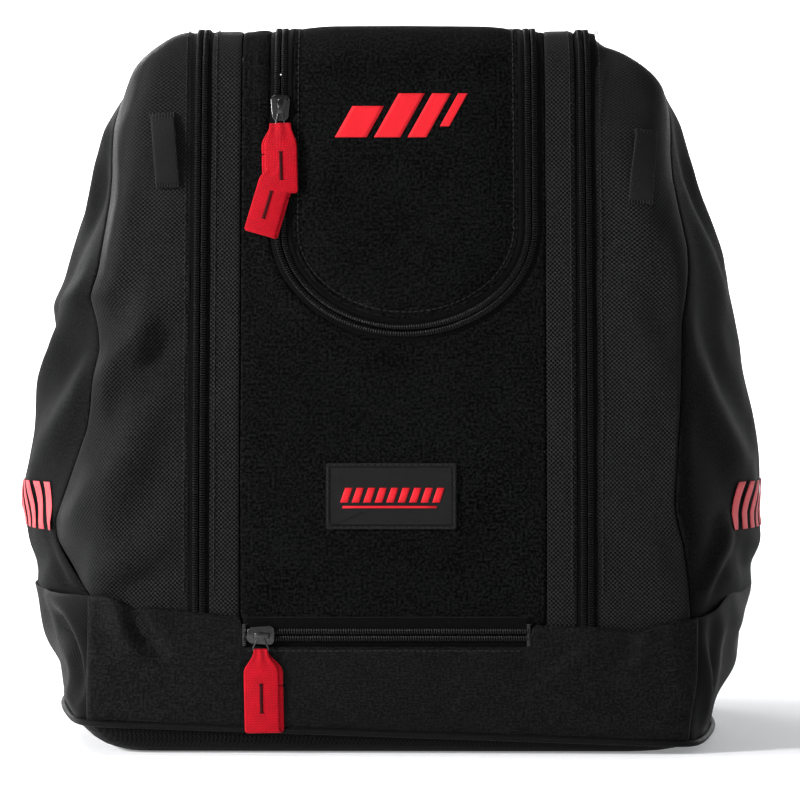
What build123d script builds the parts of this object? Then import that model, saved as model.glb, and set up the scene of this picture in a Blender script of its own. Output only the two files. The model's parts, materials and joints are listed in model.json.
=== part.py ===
"""Ski boot bag: a boxy backpack with two side boot doors, a zipped top lid and a base pocket.

Frame: +X to the viewer's right, the front faces -Y, +Z up. The origin is on the ground,
at the centre of the whole bag's footprint. All sizes are in millimetres.
"""
import os
from collections import namedtuple
from math import cos, radians, sin

from build123d import *

os.makedirs("parts", exist_ok=True)

# ---- driving dimensions -------------------------------------------------------------------
WALL = 3.0             # padded fabric wall
GAP = 0.5              # half the split along a zipper coil, between two moving bodies
BODY_Y = -16.2         # centre of the bag body, so that front and straps balance about Y = 0
FRONT = -152.0         # front face of the base, from the body's centre
BACK = 152.0           # back face, from the body's centre
BAND_Z = 84.0          # seam between the base band and the panels above it
PIPING_Z = 12.0        # piping round the bottom edge
TOP_Z = 390.0
SEAM_X = 81.5          # seam of the centre panel, where each divider wall is sewn in
STRIP_X = 98.0         # outer edge of the strip between the centre panel and the long zipper
ZIP_X = 103.0          # coil of each long side zipper
TAPE = 4.5             # visible zipper tape on each side of a coil
GUSSET_Y = -95.0       # front edge of the side gusset, from the body's centre
LID_X = 6.8            # centre of the lid, which sits a little to the right
LID_HALF = 67.3        # half width of the lid at its coil
LID_BEND_Z = 280.0     # where the lid's straight sides meet its rounded end
LID_DROP = 55.0        # depth of the rounded end
HINGE_Y = 118.0        # sewn rear edge of the lid, from the body's centre
DOOR_HINGE_X = 208.5   # fold line of each boot door, just outside the side seam

# One horizontal section of the body: half widths at the front, at the middle of the side and
# at the back, then the front and back faces from the body's centre, and the corner radius.
Ring = namedtuple("Ring", "z front side back front_y back_y corner")
RINGS = [
    Ring(0.0, 146, 176, 146, FRONT + 14, BACK - 14, 16),
    Ring(PIPING_Z, 163, 190, 160, FRONT, BACK - 2, 16),
    Ring(BAND_Z, 160, 208, 158, FRONT, BACK, 16),
    Ring(155.0, 157, 213, 156, FRONT + 2, BACK, 16),
    Ring(240.0, 152, 193, 150, FRONT + 10, BACK, 16),
    Ring(320.0, 139, 171, 140, FRONT + 19.7, BACK, 16),
    Ring(372.0, 130, 144, 132, FRONT + 26, BACK - 4, 16),
    Ring(TOP_Z, 112, 116, 114, FRONT + 48, BACK - 22, 14),
]
Side = namedtuple("Side", "name sign")
SIDES = [Side("left", -1), Side("right", 1)]


def envelope(inset):
    """The bag's outer form, shrunk by inset: a ruled loft through the rings."""
    last = len(RINGS) - 1
    with BuildPart() as body:
        for index, ring in enumerate(RINGS):
            z = ring.z + (inset if index == 0 else -inset if index == last else 0)
            front_y = BODY_Y + ring.front_y + inset
            back_y = BODY_Y + ring.back_y - inset
            middle_y = (front_y + back_y) / 2
            with BuildSketch(Plane.XY.offset(z)):
                with BuildLine():
                    Line((inset - ring.front, front_y), (ring.front - inset, front_y))
                    ThreePointArc(
                        (ring.front - inset, front_y),
                        (ring.side - inset, middle_y),
                        (ring.back - inset, back_y),
                    )
                    Line((ring.back - inset, back_y), (inset - ring.back, back_y))
                    ThreePointArc(
                        (inset - ring.back, back_y),
                        (inset - ring.side, middle_y),
                        (inset - ring.front, front_y),
                    )
                make_face()
                fillet(vertices(), radius=ring.corner - inset)
        loft(ruled=True)
    return body.part


def block(low, high, mode=Mode.ADD):
    """A box between two corners, with Y counted from the body's centre."""
    size = [b - a for a, b in zip(low, high)]
    centre = [(a + b) / 2 for a, b in zip(low, high)]
    with Locations((centre[0], centre[1] + BODY_Y, centre[2])):
        Box(*size, mode=mode)


def side_block(sign, inner_x, outer_x, low_yz, high_yz, mode=Mode.ADD):
    """A box on the left (-1) or right (+1) side, between two distances from the middle."""
    xs = sorted((sign * inner_x, sign * outer_x))
    block((xs[0], *low_yz), (xs[1], *high_yz), mode)


def lid_prism(outset, mode=Mode.ADD):
    """The lid's U outline, outset from its coil line, run back to the lid's rear edge."""
    half, drop = LID_HALF + outset, LID_DROP + outset
    with BuildSketch(Plane.XZ.offset(-(BODY_Y + HINGE_Y))) as outline:
        with BuildLine():
            Line((LID_X - half, LID_BEND_Z), (LID_X - half, FAR))
            Line((LID_X - half, FAR), (LID_X + half, FAR))
            Line((LID_X + half, FAR), (LID_X + half, LID_BEND_Z))
            EllipticalCenterArc((LID_X, LID_BEND_Z), half, drop, start_angle=180, arc_size=180)
        make_face()
    extrude(outline.sketch, amount=FAR, mode=mode)


def finish(builder, label):
    """Label a finished piece and write its file."""
    builder.part.label = label
    export_step(builder.part, f"parts/{label}.step")


FAR = 600.0            # beyond the bag in any direction
OUTER = envelope(0)
INNER = envelope(WALL)
SHELL = OUTER - INNER


def front_y_at(z):
    """The front face at a height, from the body's centre."""
    for low, high in zip(RINGS, RINGS[1:]):
        if low.z <= z <= high.z:
            share = (z - low.z) / (high.z - low.z)
            return low.front_y + share * (high.front_y - low.front_y)
    return RINGS[-1].front_y


def front_plane(x, z, lean=0.0):
    """A plane on the front face: local x to the right, y up the face, z outwards."""
    step = 1.0
    slope = (front_y_at(z + step) - front_y_at(z)) / step
    up = Vector(0, slope, 1).normalized()
    outwards = Vector(0, -up.Z, up.Y)
    turn = radians(lean)
    across = Vector(1, 0, 0) * cos(turn) + up * sin(turn)
    return Plane(origin=(x, BODY_Y + front_y_at(z), z), x_dir=across, z_dir=outwards)


def back_plane(x, z):
    """A plane on the upright back face: local y up, z outwards."""
    return Plane(origin=(x, BODY_Y + BACK, z), x_dir=(-1, 0, 0), z_dir=(0, 1, 0))


# ---- base -----------------------------------------------------------------------------------
POCKET_X = (-80.0, 73.0)        # ends of the base pocket's zipper
POCKET_Z = 63.5                 # its coil
POCKET_HALF = 5.5               # half height of the zipper's window in the band
BAND_CORNER = 18.0              # depth of the front band's wrapped corners

with BuildPart() as base_floor:
    add(SHELL)
    block((-FAR, -FAR, 0), (FAR, FAR, PIPING_Z), Mode.INTERSECT)
finish(base_floor, "base_floor")

BOARD = 2.0
with BuildPart() as base_board:
    add(INNER)
    block((-FAR, -FAR, WALL), (FAR, FAR, WALL + BOARD), Mode.INTERSECT)
finish(base_board, "base_board")

with BuildPart() as front_base_band:
    add(SHELL)
    block((-FAR, -FAR, PIPING_Z), (FAR, FRONT + BAND_CORNER, BAND_Z), Mode.INTERSECT)
    block(
        (POCKET_X[0], -FAR, POCKET_Z - POCKET_HALF),
        (POCKET_X[1], 0, POCKET_Z + POCKET_HALF),
        Mode.SUBTRACT,
    )
finish(front_base_band, "front_base_band")

for side in SIDES:
    with BuildPart() as side_base_band:
        add(SHELL)
        side_block(
            side.sign, 0, FAR,
            (FRONT + BAND_CORNER, PIPING_Z), (BACK - BAND_CORNER, BAND_Z), Mode.INTERSECT,
        )
    finish(side_base_band, f"{side.name}_base_band")

with BuildPart() as back_base_band:
    add(SHELL)
    block((-FAR, BACK - BAND_CORNER, PIPING_Z), (FAR, FAR, BAND_Z), Mode.INTERSECT)
finish(back_base_band, "back_base_band")

PIPING = 1.6
with BuildPart() as base_piping:
    add(envelope(-PIPING))
    block((-FAR, -FAR, PIPING_Z - PIPING), (FAR, FAR, PIPING_Z + PIPING), Mode.INTERSECT)
    add(OUTER, mode=Mode.SUBTRACT)
finish(base_piping, "base_piping")

POCKET_DEPTH = 34.0
LINING = 1.0
POCKET_BOX = ((-79.0, FRONT + WALL, 18.0), (79.0, FRONT + WALL + POCKET_DEPTH, 78.0))
with BuildPart() as pocket_lining:
    block(*POCKET_BOX)
    block(
        (POCKET_BOX[0][0] + LINING, -FAR, POCKET_BOX[0][2] + LINING),
        (POCKET_BOX[1][0] - LINING, POCKET_BOX[1][1] - LINING, POCKET_BOX[1][2] - LINING),
        Mode.SUBTRACT,
    )
finish(pocket_lining, "pocket_lining")

COIL = 1.4
for name, low_z, high_z in (
    ("pocket_zipper_upper_half", POCKET_Z, POCKET_Z + POCKET_HALF),
    ("pocket_zipper_lower_half", POCKET_Z - POCKET_HALF, POCKET_Z),
):
    with BuildPart() as pocket_zipper_half:
        block((POCKET_X[0], FRONT + 0.6, low_z), (POCKET_X[1], FRONT + 1.8, high_z))
        coil_z = POCKET_Z + (COIL / 2 if high_z > POCKET_Z else -COIL / 2)
        block(
            (POCKET_X[0] + 4, FRONT + 1.8, coil_z - COIL / 2),
            (POCKET_X[1] - 4, FRONT + 3.2, coil_z + COIL / 2),
        )
    finish(pocket_zipper_half, name)

# ---- front, top and back ----------------------------------------------------------------------
with BuildPart() as centre_front_panel:
    add(SHELL)
    block((-SEAM_X, -FAR, BAND_Z), (SEAM_X, HINGE_Y, FAR), Mode.INTERSECT)
    lid_prism(TAPE, Mode.SUBTRACT)
finish(centre_front_panel, "centre_front_panel")

with BuildPart() as lid_zipper_bag_half:
    add(SHELL)
    lid_prism(TAPE, Mode.INTERSECT)
    lid_prism(GAP, Mode.SUBTRACT)
finish(lid_zipper_bag_half, "lid_zipper_bag_half")

with BuildPart() as back_panel:
    add(SHELL)
    block((-STRIP_X, HINGE_Y, BAND_Z), (STRIP_X, FAR, FAR), Mode.INTERSECT)
finish(back_panel, "back_panel")

for side in SIDES:
    with BuildPart() as front_strip:
        add(SHELL)
        side_block(
            side.sign, SEAM_X, STRIP_X, (-FAR, BAND_Z), (HINGE_Y, FAR), Mode.INTERSECT
        )
    finish(front_strip, f"{side.name}_front_strip")

    with BuildPart() as side_zipper_bag_half:
        add(SHELL)
        side_block(
            side.sign, STRIP_X, ZIP_X - GAP, (-FAR, BAND_Z), (FAR, FAR), Mode.INTERSECT
        )
    finish(side_zipper_bag_half, f"{side.name}_zipper_bag_half")

    DIVIDER = 1.5
    with BuildPart() as divider_wall:
        add(INNER)
        side_block(
            side.sign, SEAM_X - DIVIDER, SEAM_X, (-FAR, WALL + BOARD), (FAR, FAR),
            Mode.INTERSECT,
        )
    finish(divider_wall, f"{side.name}_divider_wall")

LABEL = (69.0, 35.0, 1.2)
with BuildPart() as label_patch:
    with BuildSketch(front_plane(-1.0, 137.0)):
        RectangleRounded(LABEL[0], LABEL[1], 2.0)
    extrude(amount=LABEL[2])
finish(label_patch, "label_patch")

# ---- lid ----------------------------------------------------------------------------------------
LID_CLEAR = 0.4        # between the lid's rear edge and the back panel
with BuildPart() as lid_panel:
    add(SHELL)
    lid_prism(-GAP - TAPE, Mode.INTERSECT)
    block((-FAR, -FAR, 0), (FAR, HINGE_Y - LID_CLEAR, FAR), Mode.INTERSECT)
finish(lid_panel, "lid_panel")

with BuildPart() as lid_zipper_lid_half:
    add(SHELL)
    lid_prism(-GAP, Mode.INTERSECT)
    lid_prism(-GAP - TAPE, Mode.SUBTRACT)
    block((-FAR, -FAR, 0), (FAR, HINGE_Y - LID_CLEAR, FAR), Mode.INTERSECT)
finish(lid_zipper_lid_half, "lid_zipper_lid_half")

# ---- boot doors -----------------------------------------------------------------------------------
DOOR_Z = BAND_Z + 1.0
LOOP = (15.0, 41.0)             # webbing loop on each door, wide by high
LOOP_STAND = 3.0
LOOP_WEB = 1.6
LOOP_PLACE = {"left": (-121.5, 321.5), "right": (131.5, 312.5)}
for side in SIDES:
    with BuildPart() as door_front:
        add(SHELL)
        side_block(
            side.sign, ZIP_X + GAP + TAPE, FAR, (-FAR, DOOR_Z), (GUSSET_Y, FAR), Mode.INTERSECT
        )
    finish(door_front, f"{side.name}_door_front")

    with BuildPart() as door_gusset:
        add(SHELL)
        side_block(
            side.sign, ZIP_X + GAP + TAPE, FAR, (GUSSET_Y, DOOR_Z), (FAR, FAR), Mode.INTERSECT
        )
    finish(door_gusset, f"{side.name}_door_gusset")

    with BuildPart() as side_zipper_door_half:
        add(SHELL)
        side_block(
            side.sign, ZIP_X + GAP, ZIP_X + GAP + TAPE, (-FAR, DOOR_Z), (FAR, FAR),
            Mode.INTERSECT,
        )
    finish(side_zipper_door_half, f"{side.name}_zipper_door_half")

    loop_x, loop_z = LOOP_PLACE[side.name]
    with BuildPart() as webbing_loop:
        with BuildSketch(front_plane(loop_x, loop_z).offset(LOOP_STAND)):
            Rectangle(LOOP[0], LOOP[1])
        extrude(amount=LOOP_WEB)
        with BuildSketch(front_plane(loop_x, loop_z)):
            with Locations((0, LOOP[1] / 2 - 2.5), (0, 2.5 - LOOP[1] / 2)):
                Rectangle(LOOP[0], 5.0)
        extrude(amount=LOOP_STAND)
        add(OUTER, mode=Mode.SUBTRACT)
    finish(webbing_loop, f"{side.name}_webbing_loop")

# ---- zipper sliders and their webbing pulls -------------------------------------------------------
SLIDER = (11.0, 15.0)           # slider plate, across and along the coil
SLIDER_LOW, SLIDER_HIGH = 0.4, 2.2
BRIDGE = (3.0, 9.0)
BRIDGE_HIGH = 4.6
WIRE = 0.8                      # bail wire radius
EYE_DROP = 10.5                 # bail's cross wire below the slider's middle
EYE_HIGH = 3.4                  # and out from the face
EYE_WALL = 2.2                  # outer radius of the pull's folded eye
PULL_WIDE = 19.0
PULL_NECK = 10.0
PULL_THICK = 2.4
BAIL_HALF = 6.4


def rod(plane, start, along, length, radius, mode=Mode.ADD):
    """A round rod from a local point of a plane, along a direction."""
    with BuildSketch(Plane(origin=plane.from_local_coords(start), z_dir=along)) as end:
        Circle(radius)
    extrude(end.sketch, amount=length, mode=mode)


def slider(plane, label, along_x=False):
    """Plate, bridge and wire bail. A coil along x turns the plate, and the bail still hangs."""
    turn = 90 if along_x else 0
    with BuildPart() as piece:
        with BuildSketch(plane.offset(SLIDER_LOW)):
            RectangleRounded(SLIDER[0], SLIDER[1], 2.0, rotation=turn)
        extrude(amount=SLIDER_HIGH - SLIDER_LOW)
        with BuildSketch(plane.offset(SLIDER_HIGH)):
            SlotOverall(BRIDGE[1], BRIDGE[0], rotation=90)
        extrude(amount=BRIDGE_HIGH - SLIDER_HIGH)
        for y in (-EYE_DROP, -BAIL_TOP):
            start = (-BAIL_HALF - WIRE, y, EYE_HIGH)
            rod(plane, start, plane.x_dir, 2 * (BAIL_HALF + WIRE), WIRE)
        for x in (-BAIL_HALF, BAIL_HALF):
            start = (x, -EYE_DROP - WIRE, EYE_HIGH)
            rod(plane, start, plane.y_dir, EYE_DROP - BAIL_TOP + 2 * WIRE, WIRE)
    finish(piece, label)


def pull_outline(plane, top):
    """Cut a pull to its outline: a pinched neck under the eye, then the full width."""
    half, neck = PULL_WIDE / 2, PULL_NECK / 2
    with BuildSketch(plane) as outline:
        with BuildLine():
            Polyline(
                (-neck, top + EYE_WALL), (neck, top + EYE_WALL), (neck, top - NECK_END),
                (half, top - NECK_END - 5), (half, -FAR), (-half, -FAR),
                (-half, top - NECK_END - 5), (-neck, top - NECK_END), close=True,
            )
        make_face()
    extrude(outline.sketch, amount=FAR, both=True, mode=Mode.INTERSECT)


def pull(plane, label, length, raised=0.0):
    """Doubled webbing that hangs from the bail; raised lifts it over what lies under it."""
    edge = Plane(origin=plane.origin, x_dir=plane.y_dir, z_dir=plane.x_dir)
    eye = (-EYE_DROP, EYE_HIGH)
    end = -EYE_DROP - length
    with BuildPart() as piece:
        with BuildSketch(edge):
            with BuildLine():
                if raised:
                    step = (-EYE_DROP - NECK_END, EYE_HIGH + raised)
                    Polyline(eye, step, (end, EYE_HIGH + raised))
                else:
                    Line(eye, (end, EYE_HIGH))
            trace(line_width=PULL_THICK)
            with Locations(eye):
                Circle(EYE_WALL)
                Circle(WIRE + EYE_CLEAR, mode=Mode.SUBTRACT)
        extrude(amount=PULL_WIDE / 2, both=True)
        pull_outline(plane, -EYE_DROP)
    finish(piece, label)


BAIL_TOP = 2.0                  # bail's upper cross wire, through the bridge
NECK_END = 6.0                  # length of a pull's pinched neck below its eye
EYE_CLEAR = 0.25                # around the wire
LID_COIL_X = LID_X - LID_HALF

# The lid's upper slider, whose pull hangs over the lower slider.
UPPER_Z, LOWER_Z = 345.0, 324.0
upper = front_plane(LID_COIL_X, UPPER_Z)
slider(upper, "lid_upper_slider")
pull(upper, "lid_upper_pull", length=36.0, raised=4.2)

# The lid's lower slider: its pull leans to the left on a short swivel stud.
STUD = 1.3
STUD_HEAD = 2.4
lower = front_plane(LID_COIL_X, LOWER_Z)
with BuildPart() as lid_lower_slider:
    with BuildSketch(lower.offset(SLIDER_LOW)):
        RectangleRounded(SLIDER[0], SLIDER[1], 2.0)
        with Locations((0, -EYE_DROP / 2 - STUD_HEAD / 2)):
            Rectangle(2 * STUD_HEAD, EYE_DROP + STUD_HEAD)
    extrude(amount=SLIDER_HIGH - SLIDER_LOW - 0.4)
    with BuildSketch(lower.offset(SLIDER_LOW)):
        RectangleRounded(SLIDER[0], SLIDER[1], 2.0)
    extrude(amount=SLIDER_HIGH - SLIDER_LOW)
    with BuildSketch(lower.offset(SLIDER_HIGH)):
        with Locations((0, 2)):
            SlotOverall(BRIDGE[1], BRIDGE[0], rotation=90)
    extrude(amount=BRIDGE_HIGH - SLIDER_HIGH)
    rod(lower, (0, -EYE_DROP, SLIDER_LOW), lower.z_dir, 4.9, STUD)
    rod(lower, (0, -EYE_DROP, 4.9), lower.z_dir, 0.6, STUD_HEAD)
finish(lid_lower_slider, "lid_lower_slider")

LEAN = -10.0
stud = lower.from_local_coords((0, -EYE_DROP, 0))
turned = Plane(
    origin=stud,
    x_dir=lower.x_dir * cos(radians(LEAN)) + lower.y_dir * sin(radians(LEAN)),
    z_dir=lower.z_dir,
)
with BuildPart() as lid_lower_pull:
    with BuildSketch(turned.offset(2.2)):
        with Locations((0, -19.5)):
            Rectangle(PULL_WIDE, 45.0)
    extrude(amount=PULL_THICK)
    pull_outline(turned, 1.0)
    rod(turned, (0, 0, 0), turned.z_dir, 10.0, STUD + EYE_CLEAR, Mode.SUBTRACT)
finish(lid_lower_pull, "lid_lower_pull")

# The base pocket's slider, parked at the left end.
pocket = front_plane(POCKET_X[0] + 10.0, POCKET_Z + 2.0)
slider(pocket, "pocket_slider", along_x=True)
pull(pocket, "pocket_pull", length=45.0)

# One slider per boot door, parked at the bottom of the zipper's rear branch.
DOOR_SLIDER_Z = 100.0
for side in SIDES:
    rear = back_plane(side.sign * ZIP_X, DOOR_SLIDER_Z)
    slider(rear, f"{side.name}_door_slider")
    pull(rear, f"{side.name}_door_pull", length=40.0)

# ---- back pads, straps and handle ---------------------------------------------------------------
PAD = 8.0
with BuildPart() as spine_pad:
    with BuildSketch(back_plane(0, 205)):
        RectangleRounded(46.0, 200.0, 14.0)
    extrude(amount=PAD)
    fillet(faces().sort_by(Axis.Y)[-1].edges(), radius=4.0)
finish(spine_pad, "spine_pad")

STRAP_MID = 60.0       # centre of each shoulder strap from the middle
STRAP_WIDE = 60.0
STRAP_TOP, STRAP_END = 325.0, 102.0
STRAP_STAND = 26.0     # how far the strap bows off the back
STRAP_THICK = 12.0
WEB = 25.0             # lower webbing width
WEB_THICK = 1.6
BUCKLE = (34.0, 24.0, 5.0)
BUCKLE_Z = 88.0
BUCKLE_Y = BACK + 5.0
ANCHOR_Z = 34.0


def side_profile(x):
    """A plane across the bag at x: local x is Y from the body's centre, local y is Z."""
    return Plane(origin=(x, BODY_Y, 0), x_dir=(0, 1, 0), z_dir=(1, 0, 0))


for side in SIDES:
    middle = side_profile(side.sign * STRAP_MID)
    with BuildPart() as shoulder_strap:
        with BuildSketch(middle):
            with BuildLine():
                mid_z = (STRAP_TOP + STRAP_END) / 2
                inner_y = BACK + 0.2
                ThreePointArc(
                    (inner_y, STRAP_TOP - 7), (BACK + STRAP_STAND, mid_z), (BACK + 3, STRAP_END + 4)
                )
                Line((BACK + 3, STRAP_END + 4), (BACK + 13, STRAP_END))
                ThreePointArc(
                    (BACK + 13, STRAP_END),
                    (BACK + STRAP_STAND + STRAP_THICK, mid_z),
                    (BACK + STRAP_THICK, STRAP_TOP),
                )
                Line((BACK + STRAP_THICK, STRAP_TOP), (inner_y, STRAP_TOP - 7))
            make_face()
        extrude(amount=STRAP_WIDE / 2, both=True)
    finish(shoulder_strap, f"{side.name}_shoulder_strap")

    with BuildPart() as ladder_lock:
        with BuildSketch(Plane(origin=(side.sign * STRAP_MID, BODY_Y + BUCKLE_Y, BUCKLE_Z),
                               x_dir=(-1, 0, 0), z_dir=(0, 1, 0))):
            RectangleRounded(BUCKLE[0], BUCKLE[1], 3.0)
            with Locations((0, -6.4), (0, 1.4), (0, 8.0)):
                Rectangle(WEB + 1.5, 3.6, mode=Mode.SUBTRACT)
        extrude(amount=BUCKLE[2])
    finish(ladder_lock, f"{side.name}_ladder_lock")

    # The webbing climbs from its anchor, passes the buckle's lower slots, and its tail hangs.
    with BuildPart() as strap_webbing:
        with BuildSketch(middle):
            with BuildLine():
                Polyline(
                    (BACK + 1.2, ANCHOR_Z), (BUCKLE_Y + 1.0, BUCKLE_Z - 16),
                    (BUCKLE_Y - 0.9, BUCKLE_Z - 10), (BUCKLE_Y - 0.9, BUCKLE_Z - 6.4),
                    (BUCKLE_Y + BUCKLE[2] + 0.9, BUCKLE_Z - 6.4),
                    (BUCKLE_Y + BUCKLE[2] + 0.9, BUCKLE_Z - 66),
                )
            trace(line_width=WEB_THICK)
        extrude(amount=WEB / 2, both=True)
        add(ladder_lock.part, mode=Mode.SUBTRACT)
    finish(strap_webbing, f"{side.name}_strap_webbing")

    # A webbing tab sewn into the strap's end holds the buckle by its upper bar.
    with BuildPart() as buckle_tab:
        with BuildSketch(middle):
            with BuildLine():
                Polyline(
                    (BACK + 7, STRAP_END + 1), (BUCKLE_Y + BUCKLE[2] + 0.9, STRAP_END - 2.5),
                    (BUCKLE_Y + BUCKLE[2] + 0.9, BUCKLE_Z + 8), (BUCKLE_Y + 1.0, BUCKLE_Z + 8),
                )
            trace(line_width=WEB_THICK)
        extrude(amount=WEB / 2, both=True)
        add(shoulder_strap.part, mode=Mode.SUBTRACT)
        add(ladder_lock.part, mode=Mode.SUBTRACT)
    finish(buckle_tab, f"{side.name}_buckle_tab")

    with BuildPart() as strap_anchor:
        with BuildSketch(back_plane(side.sign * STRAP_MID, ANCHOR_Z - 6)):
            Trapezoid(44.0, 14.0, 60.0)
        extrude(amount=2.0)
        add(OUTER, mode=Mode.SUBTRACT)
        add(strap_webbing.part, mode=Mode.SUBTRACT)
    finish(strap_anchor, f"{side.name}_strap_anchor")

# The haul handle: a rolled webbing grip that hangs behind the top edge.
GRIP = 5.5
HANDLE_HALF = 31.0
HANDLE_Z = 366.0
HANDLE_DROP = 30.0
HANDLE_Y = BACK + GRIP + 0.6
with BuildPart() as grab_handle:
    with BuildLine() as handle_path:
        FilletPolyline(
            (-HANDLE_HALF, BODY_Y + HANDLE_Y, HANDLE_Z),
            (-HANDLE_HALF, BODY_Y + HANDLE_Y, HANDLE_Z - HANDLE_DROP),
            (HANDLE_HALF, BODY_Y + HANDLE_Y, HANDLE_Z - HANDLE_DROP),
            (HANDLE_HALF, BODY_Y + HANDLE_Y, HANDLE_Z),
            radius=14.0,
        )
    with BuildSketch(Plane(origin=handle_path.line @ 0, z_dir=handle_path.line % 0)):
        Circle(GRIP)
    sweep()
    for x in (-HANDLE_HALF, HANDLE_HALF):
        with Locations((x, BODY_Y + HANDLE_Y, HANDLE_Z)):
            Sphere(GRIP)
finish(grab_handle, "grab_handle")
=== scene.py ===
"""Ski boot bag: the visible cloth, zippers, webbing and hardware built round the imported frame.

Everything is in metres in the frame's own axes: +X right, the front faces -Y, +Z up.
"""

import json
import math

import bmesh
import bpy
import numpy as np
from mathutils import Matrix, Vector, noise


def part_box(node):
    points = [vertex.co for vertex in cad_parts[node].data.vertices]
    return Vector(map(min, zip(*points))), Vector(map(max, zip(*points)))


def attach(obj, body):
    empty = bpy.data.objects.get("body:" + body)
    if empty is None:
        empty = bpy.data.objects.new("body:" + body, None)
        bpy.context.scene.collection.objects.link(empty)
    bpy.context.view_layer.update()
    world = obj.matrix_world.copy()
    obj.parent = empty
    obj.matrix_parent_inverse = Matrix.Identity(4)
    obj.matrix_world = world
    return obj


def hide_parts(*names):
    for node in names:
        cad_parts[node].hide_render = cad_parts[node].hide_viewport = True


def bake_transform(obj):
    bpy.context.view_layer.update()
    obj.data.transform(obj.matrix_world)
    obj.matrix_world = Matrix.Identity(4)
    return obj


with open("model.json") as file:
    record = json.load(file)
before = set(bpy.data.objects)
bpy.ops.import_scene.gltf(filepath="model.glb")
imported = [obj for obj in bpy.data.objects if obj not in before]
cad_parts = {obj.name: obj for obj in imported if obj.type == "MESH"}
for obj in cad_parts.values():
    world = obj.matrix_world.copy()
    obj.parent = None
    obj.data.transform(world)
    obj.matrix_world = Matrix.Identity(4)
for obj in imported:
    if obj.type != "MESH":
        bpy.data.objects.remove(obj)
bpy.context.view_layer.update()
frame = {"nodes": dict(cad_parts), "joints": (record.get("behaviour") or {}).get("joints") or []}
MM = 0.001

# ---- places read from the frame ------------------------------------------------------------------
FRONT_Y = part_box("front_base_band")[0].y
BACK_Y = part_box("back_base_band")[1].y
BODY_Y = (FRONT_Y + BACK_Y) / 2
BAND_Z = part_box("back_base_band")[1].z
PIPING_Z = (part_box("base_piping")[0].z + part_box("base_piping")[1].z) / 2
ZIP_X = (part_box("right_zipper_bag_half")[1].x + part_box("right_zipper_door_half")[0].x) / 2
SEAM_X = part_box("centre_front_panel")[1].x
STRIP_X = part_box("right_front_strip")[1].x
DOOR_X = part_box("right_zipper_door_half")[1].x
LID_X = (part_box("lid_zipper_lid_half")[0].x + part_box("lid_zipper_lid_half")[1].x) / 2
LID_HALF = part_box("lid_zipper_bag_half")[1].x - LID_X - 4.5 * MM
LID_END_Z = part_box("lid_zipper_bag_half")[0].z + 4.5 * MM
LID_BEND_Z = LID_END_Z + 55 * MM
HINGE_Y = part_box("centre_front_panel")[1].y
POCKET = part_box("pocket_zipper_lower_half")
POCKET_Z = POCKET[1].z
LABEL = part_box("label_patch")
SIDES = ((-1, "left"), (1, "right"))


# ---- curves and grids ----------------------------------------------------------------------------
def lengths(points):
    """Running length along a row of points."""
    steps = np.linalg.norm(np.diff(points, axis=0), axis=1)
    return np.concatenate([[0.0], np.cumsum(steps)])


def even(points, places):
    """Points at given running lengths along a row of points."""
    run = lengths(points)
    return np.stack([np.interp(places, run, points[:, k]) for k in range(points.shape[1])], 1)


def spline(points, count=240):
    """A smooth uniform cubic B-spline pulled by its points, which starts and ends on them."""
    held = np.vstack([points[:1]] * 2 + [points] + [points[-1:]] * 2)
    place = np.linspace(0, len(held) - 3 - 1e-9, count)
    first = place.astype(int)
    f = (place - first)[:, None]
    weights = [(1 - f) ** 3, 3 * f**3 - 6 * f**2 + 4, -3 * f**3 + 3 * f**2 + 3 * f + 1, f**3]
    return sum(w * held[first + k] for k, w in enumerate(weights)) / 6


def through(points, count=400):
    """A smooth curve that passes through its points."""
    t = lengths(points)
    slopes = np.gradient(points, t, axis=0)
    place = np.linspace(0, t[-1], count)
    i = np.clip(np.searchsorted(t, place, side="right") - 1, 0, len(t) - 2)
    h = (t[i + 1] - t[i])[:, None]
    f = (place - t[i])[:, None] / h
    return (
        (2 * f**3 - 3 * f**2 + 1) * points[i] + (f**3 - 2 * f**2 + f) * h * slopes[i]
        + (3 * f**2 - 2 * f**3) * points[i + 1] + (f**3 - f**2) * h * slopes[i + 1]
    )


HEM = np.array([0.0, 0.7, 1.6, 3.0]) * MM
HEM_ROLL = HEM[-1]


def spaced(start, end, step=4.2 * MM):
    """Places from start to end: close together at both hems, and about a step apart between."""
    inner = np.linspace(start + HEM_ROLL, end - HEM_ROLL, max(2, round((end - start) / step)))
    return np.concatenate([start + HEM[:-1], inner, end - HEM[:-1][::-1]])


def smooth_step(x):
    x = np.clip(x, 0, 1)
    return x * x * (3 - 2 * x)


def rolled(places, start, end, depth):
    """How far a folded hem dips at each place: down by depth at both edges."""
    edge = np.minimum(places - start, end - places)
    return -hem_dip(edge, depth)


def hem_dip(edge, depth=0.9 * MM, roll=HEM_ROLL):
    """How far a folded hem dips at a distance from the cloth's edge."""
    return depth * (1 - np.clip(edge / roll, 0, 1)) ** 2


def normals_of(points):
    """Outward normals of a grid of points, rows upwards and columns to the right of the face."""
    across = np.gradient(points, axis=1)
    along = np.gradient(points, axis=0)
    normal = np.cross(across, along)
    size = np.linalg.norm(normal, axis=2, keepdims=True)
    return normal / np.maximum(size, 1e-12)


def ripple(points, scale, seed):
    """Soft unevenness of cloth, from -1 to 1, that depends only on place."""
    flat = points.reshape(-1, 3) * scale
    shift = Vector((seed * 7.3, seed * 3.1, seed * 5.7))
    values = [noise.noise(Vector(p) + shift) for p in flat]
    return np.array(values).reshape(points.shape[:2])


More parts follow.
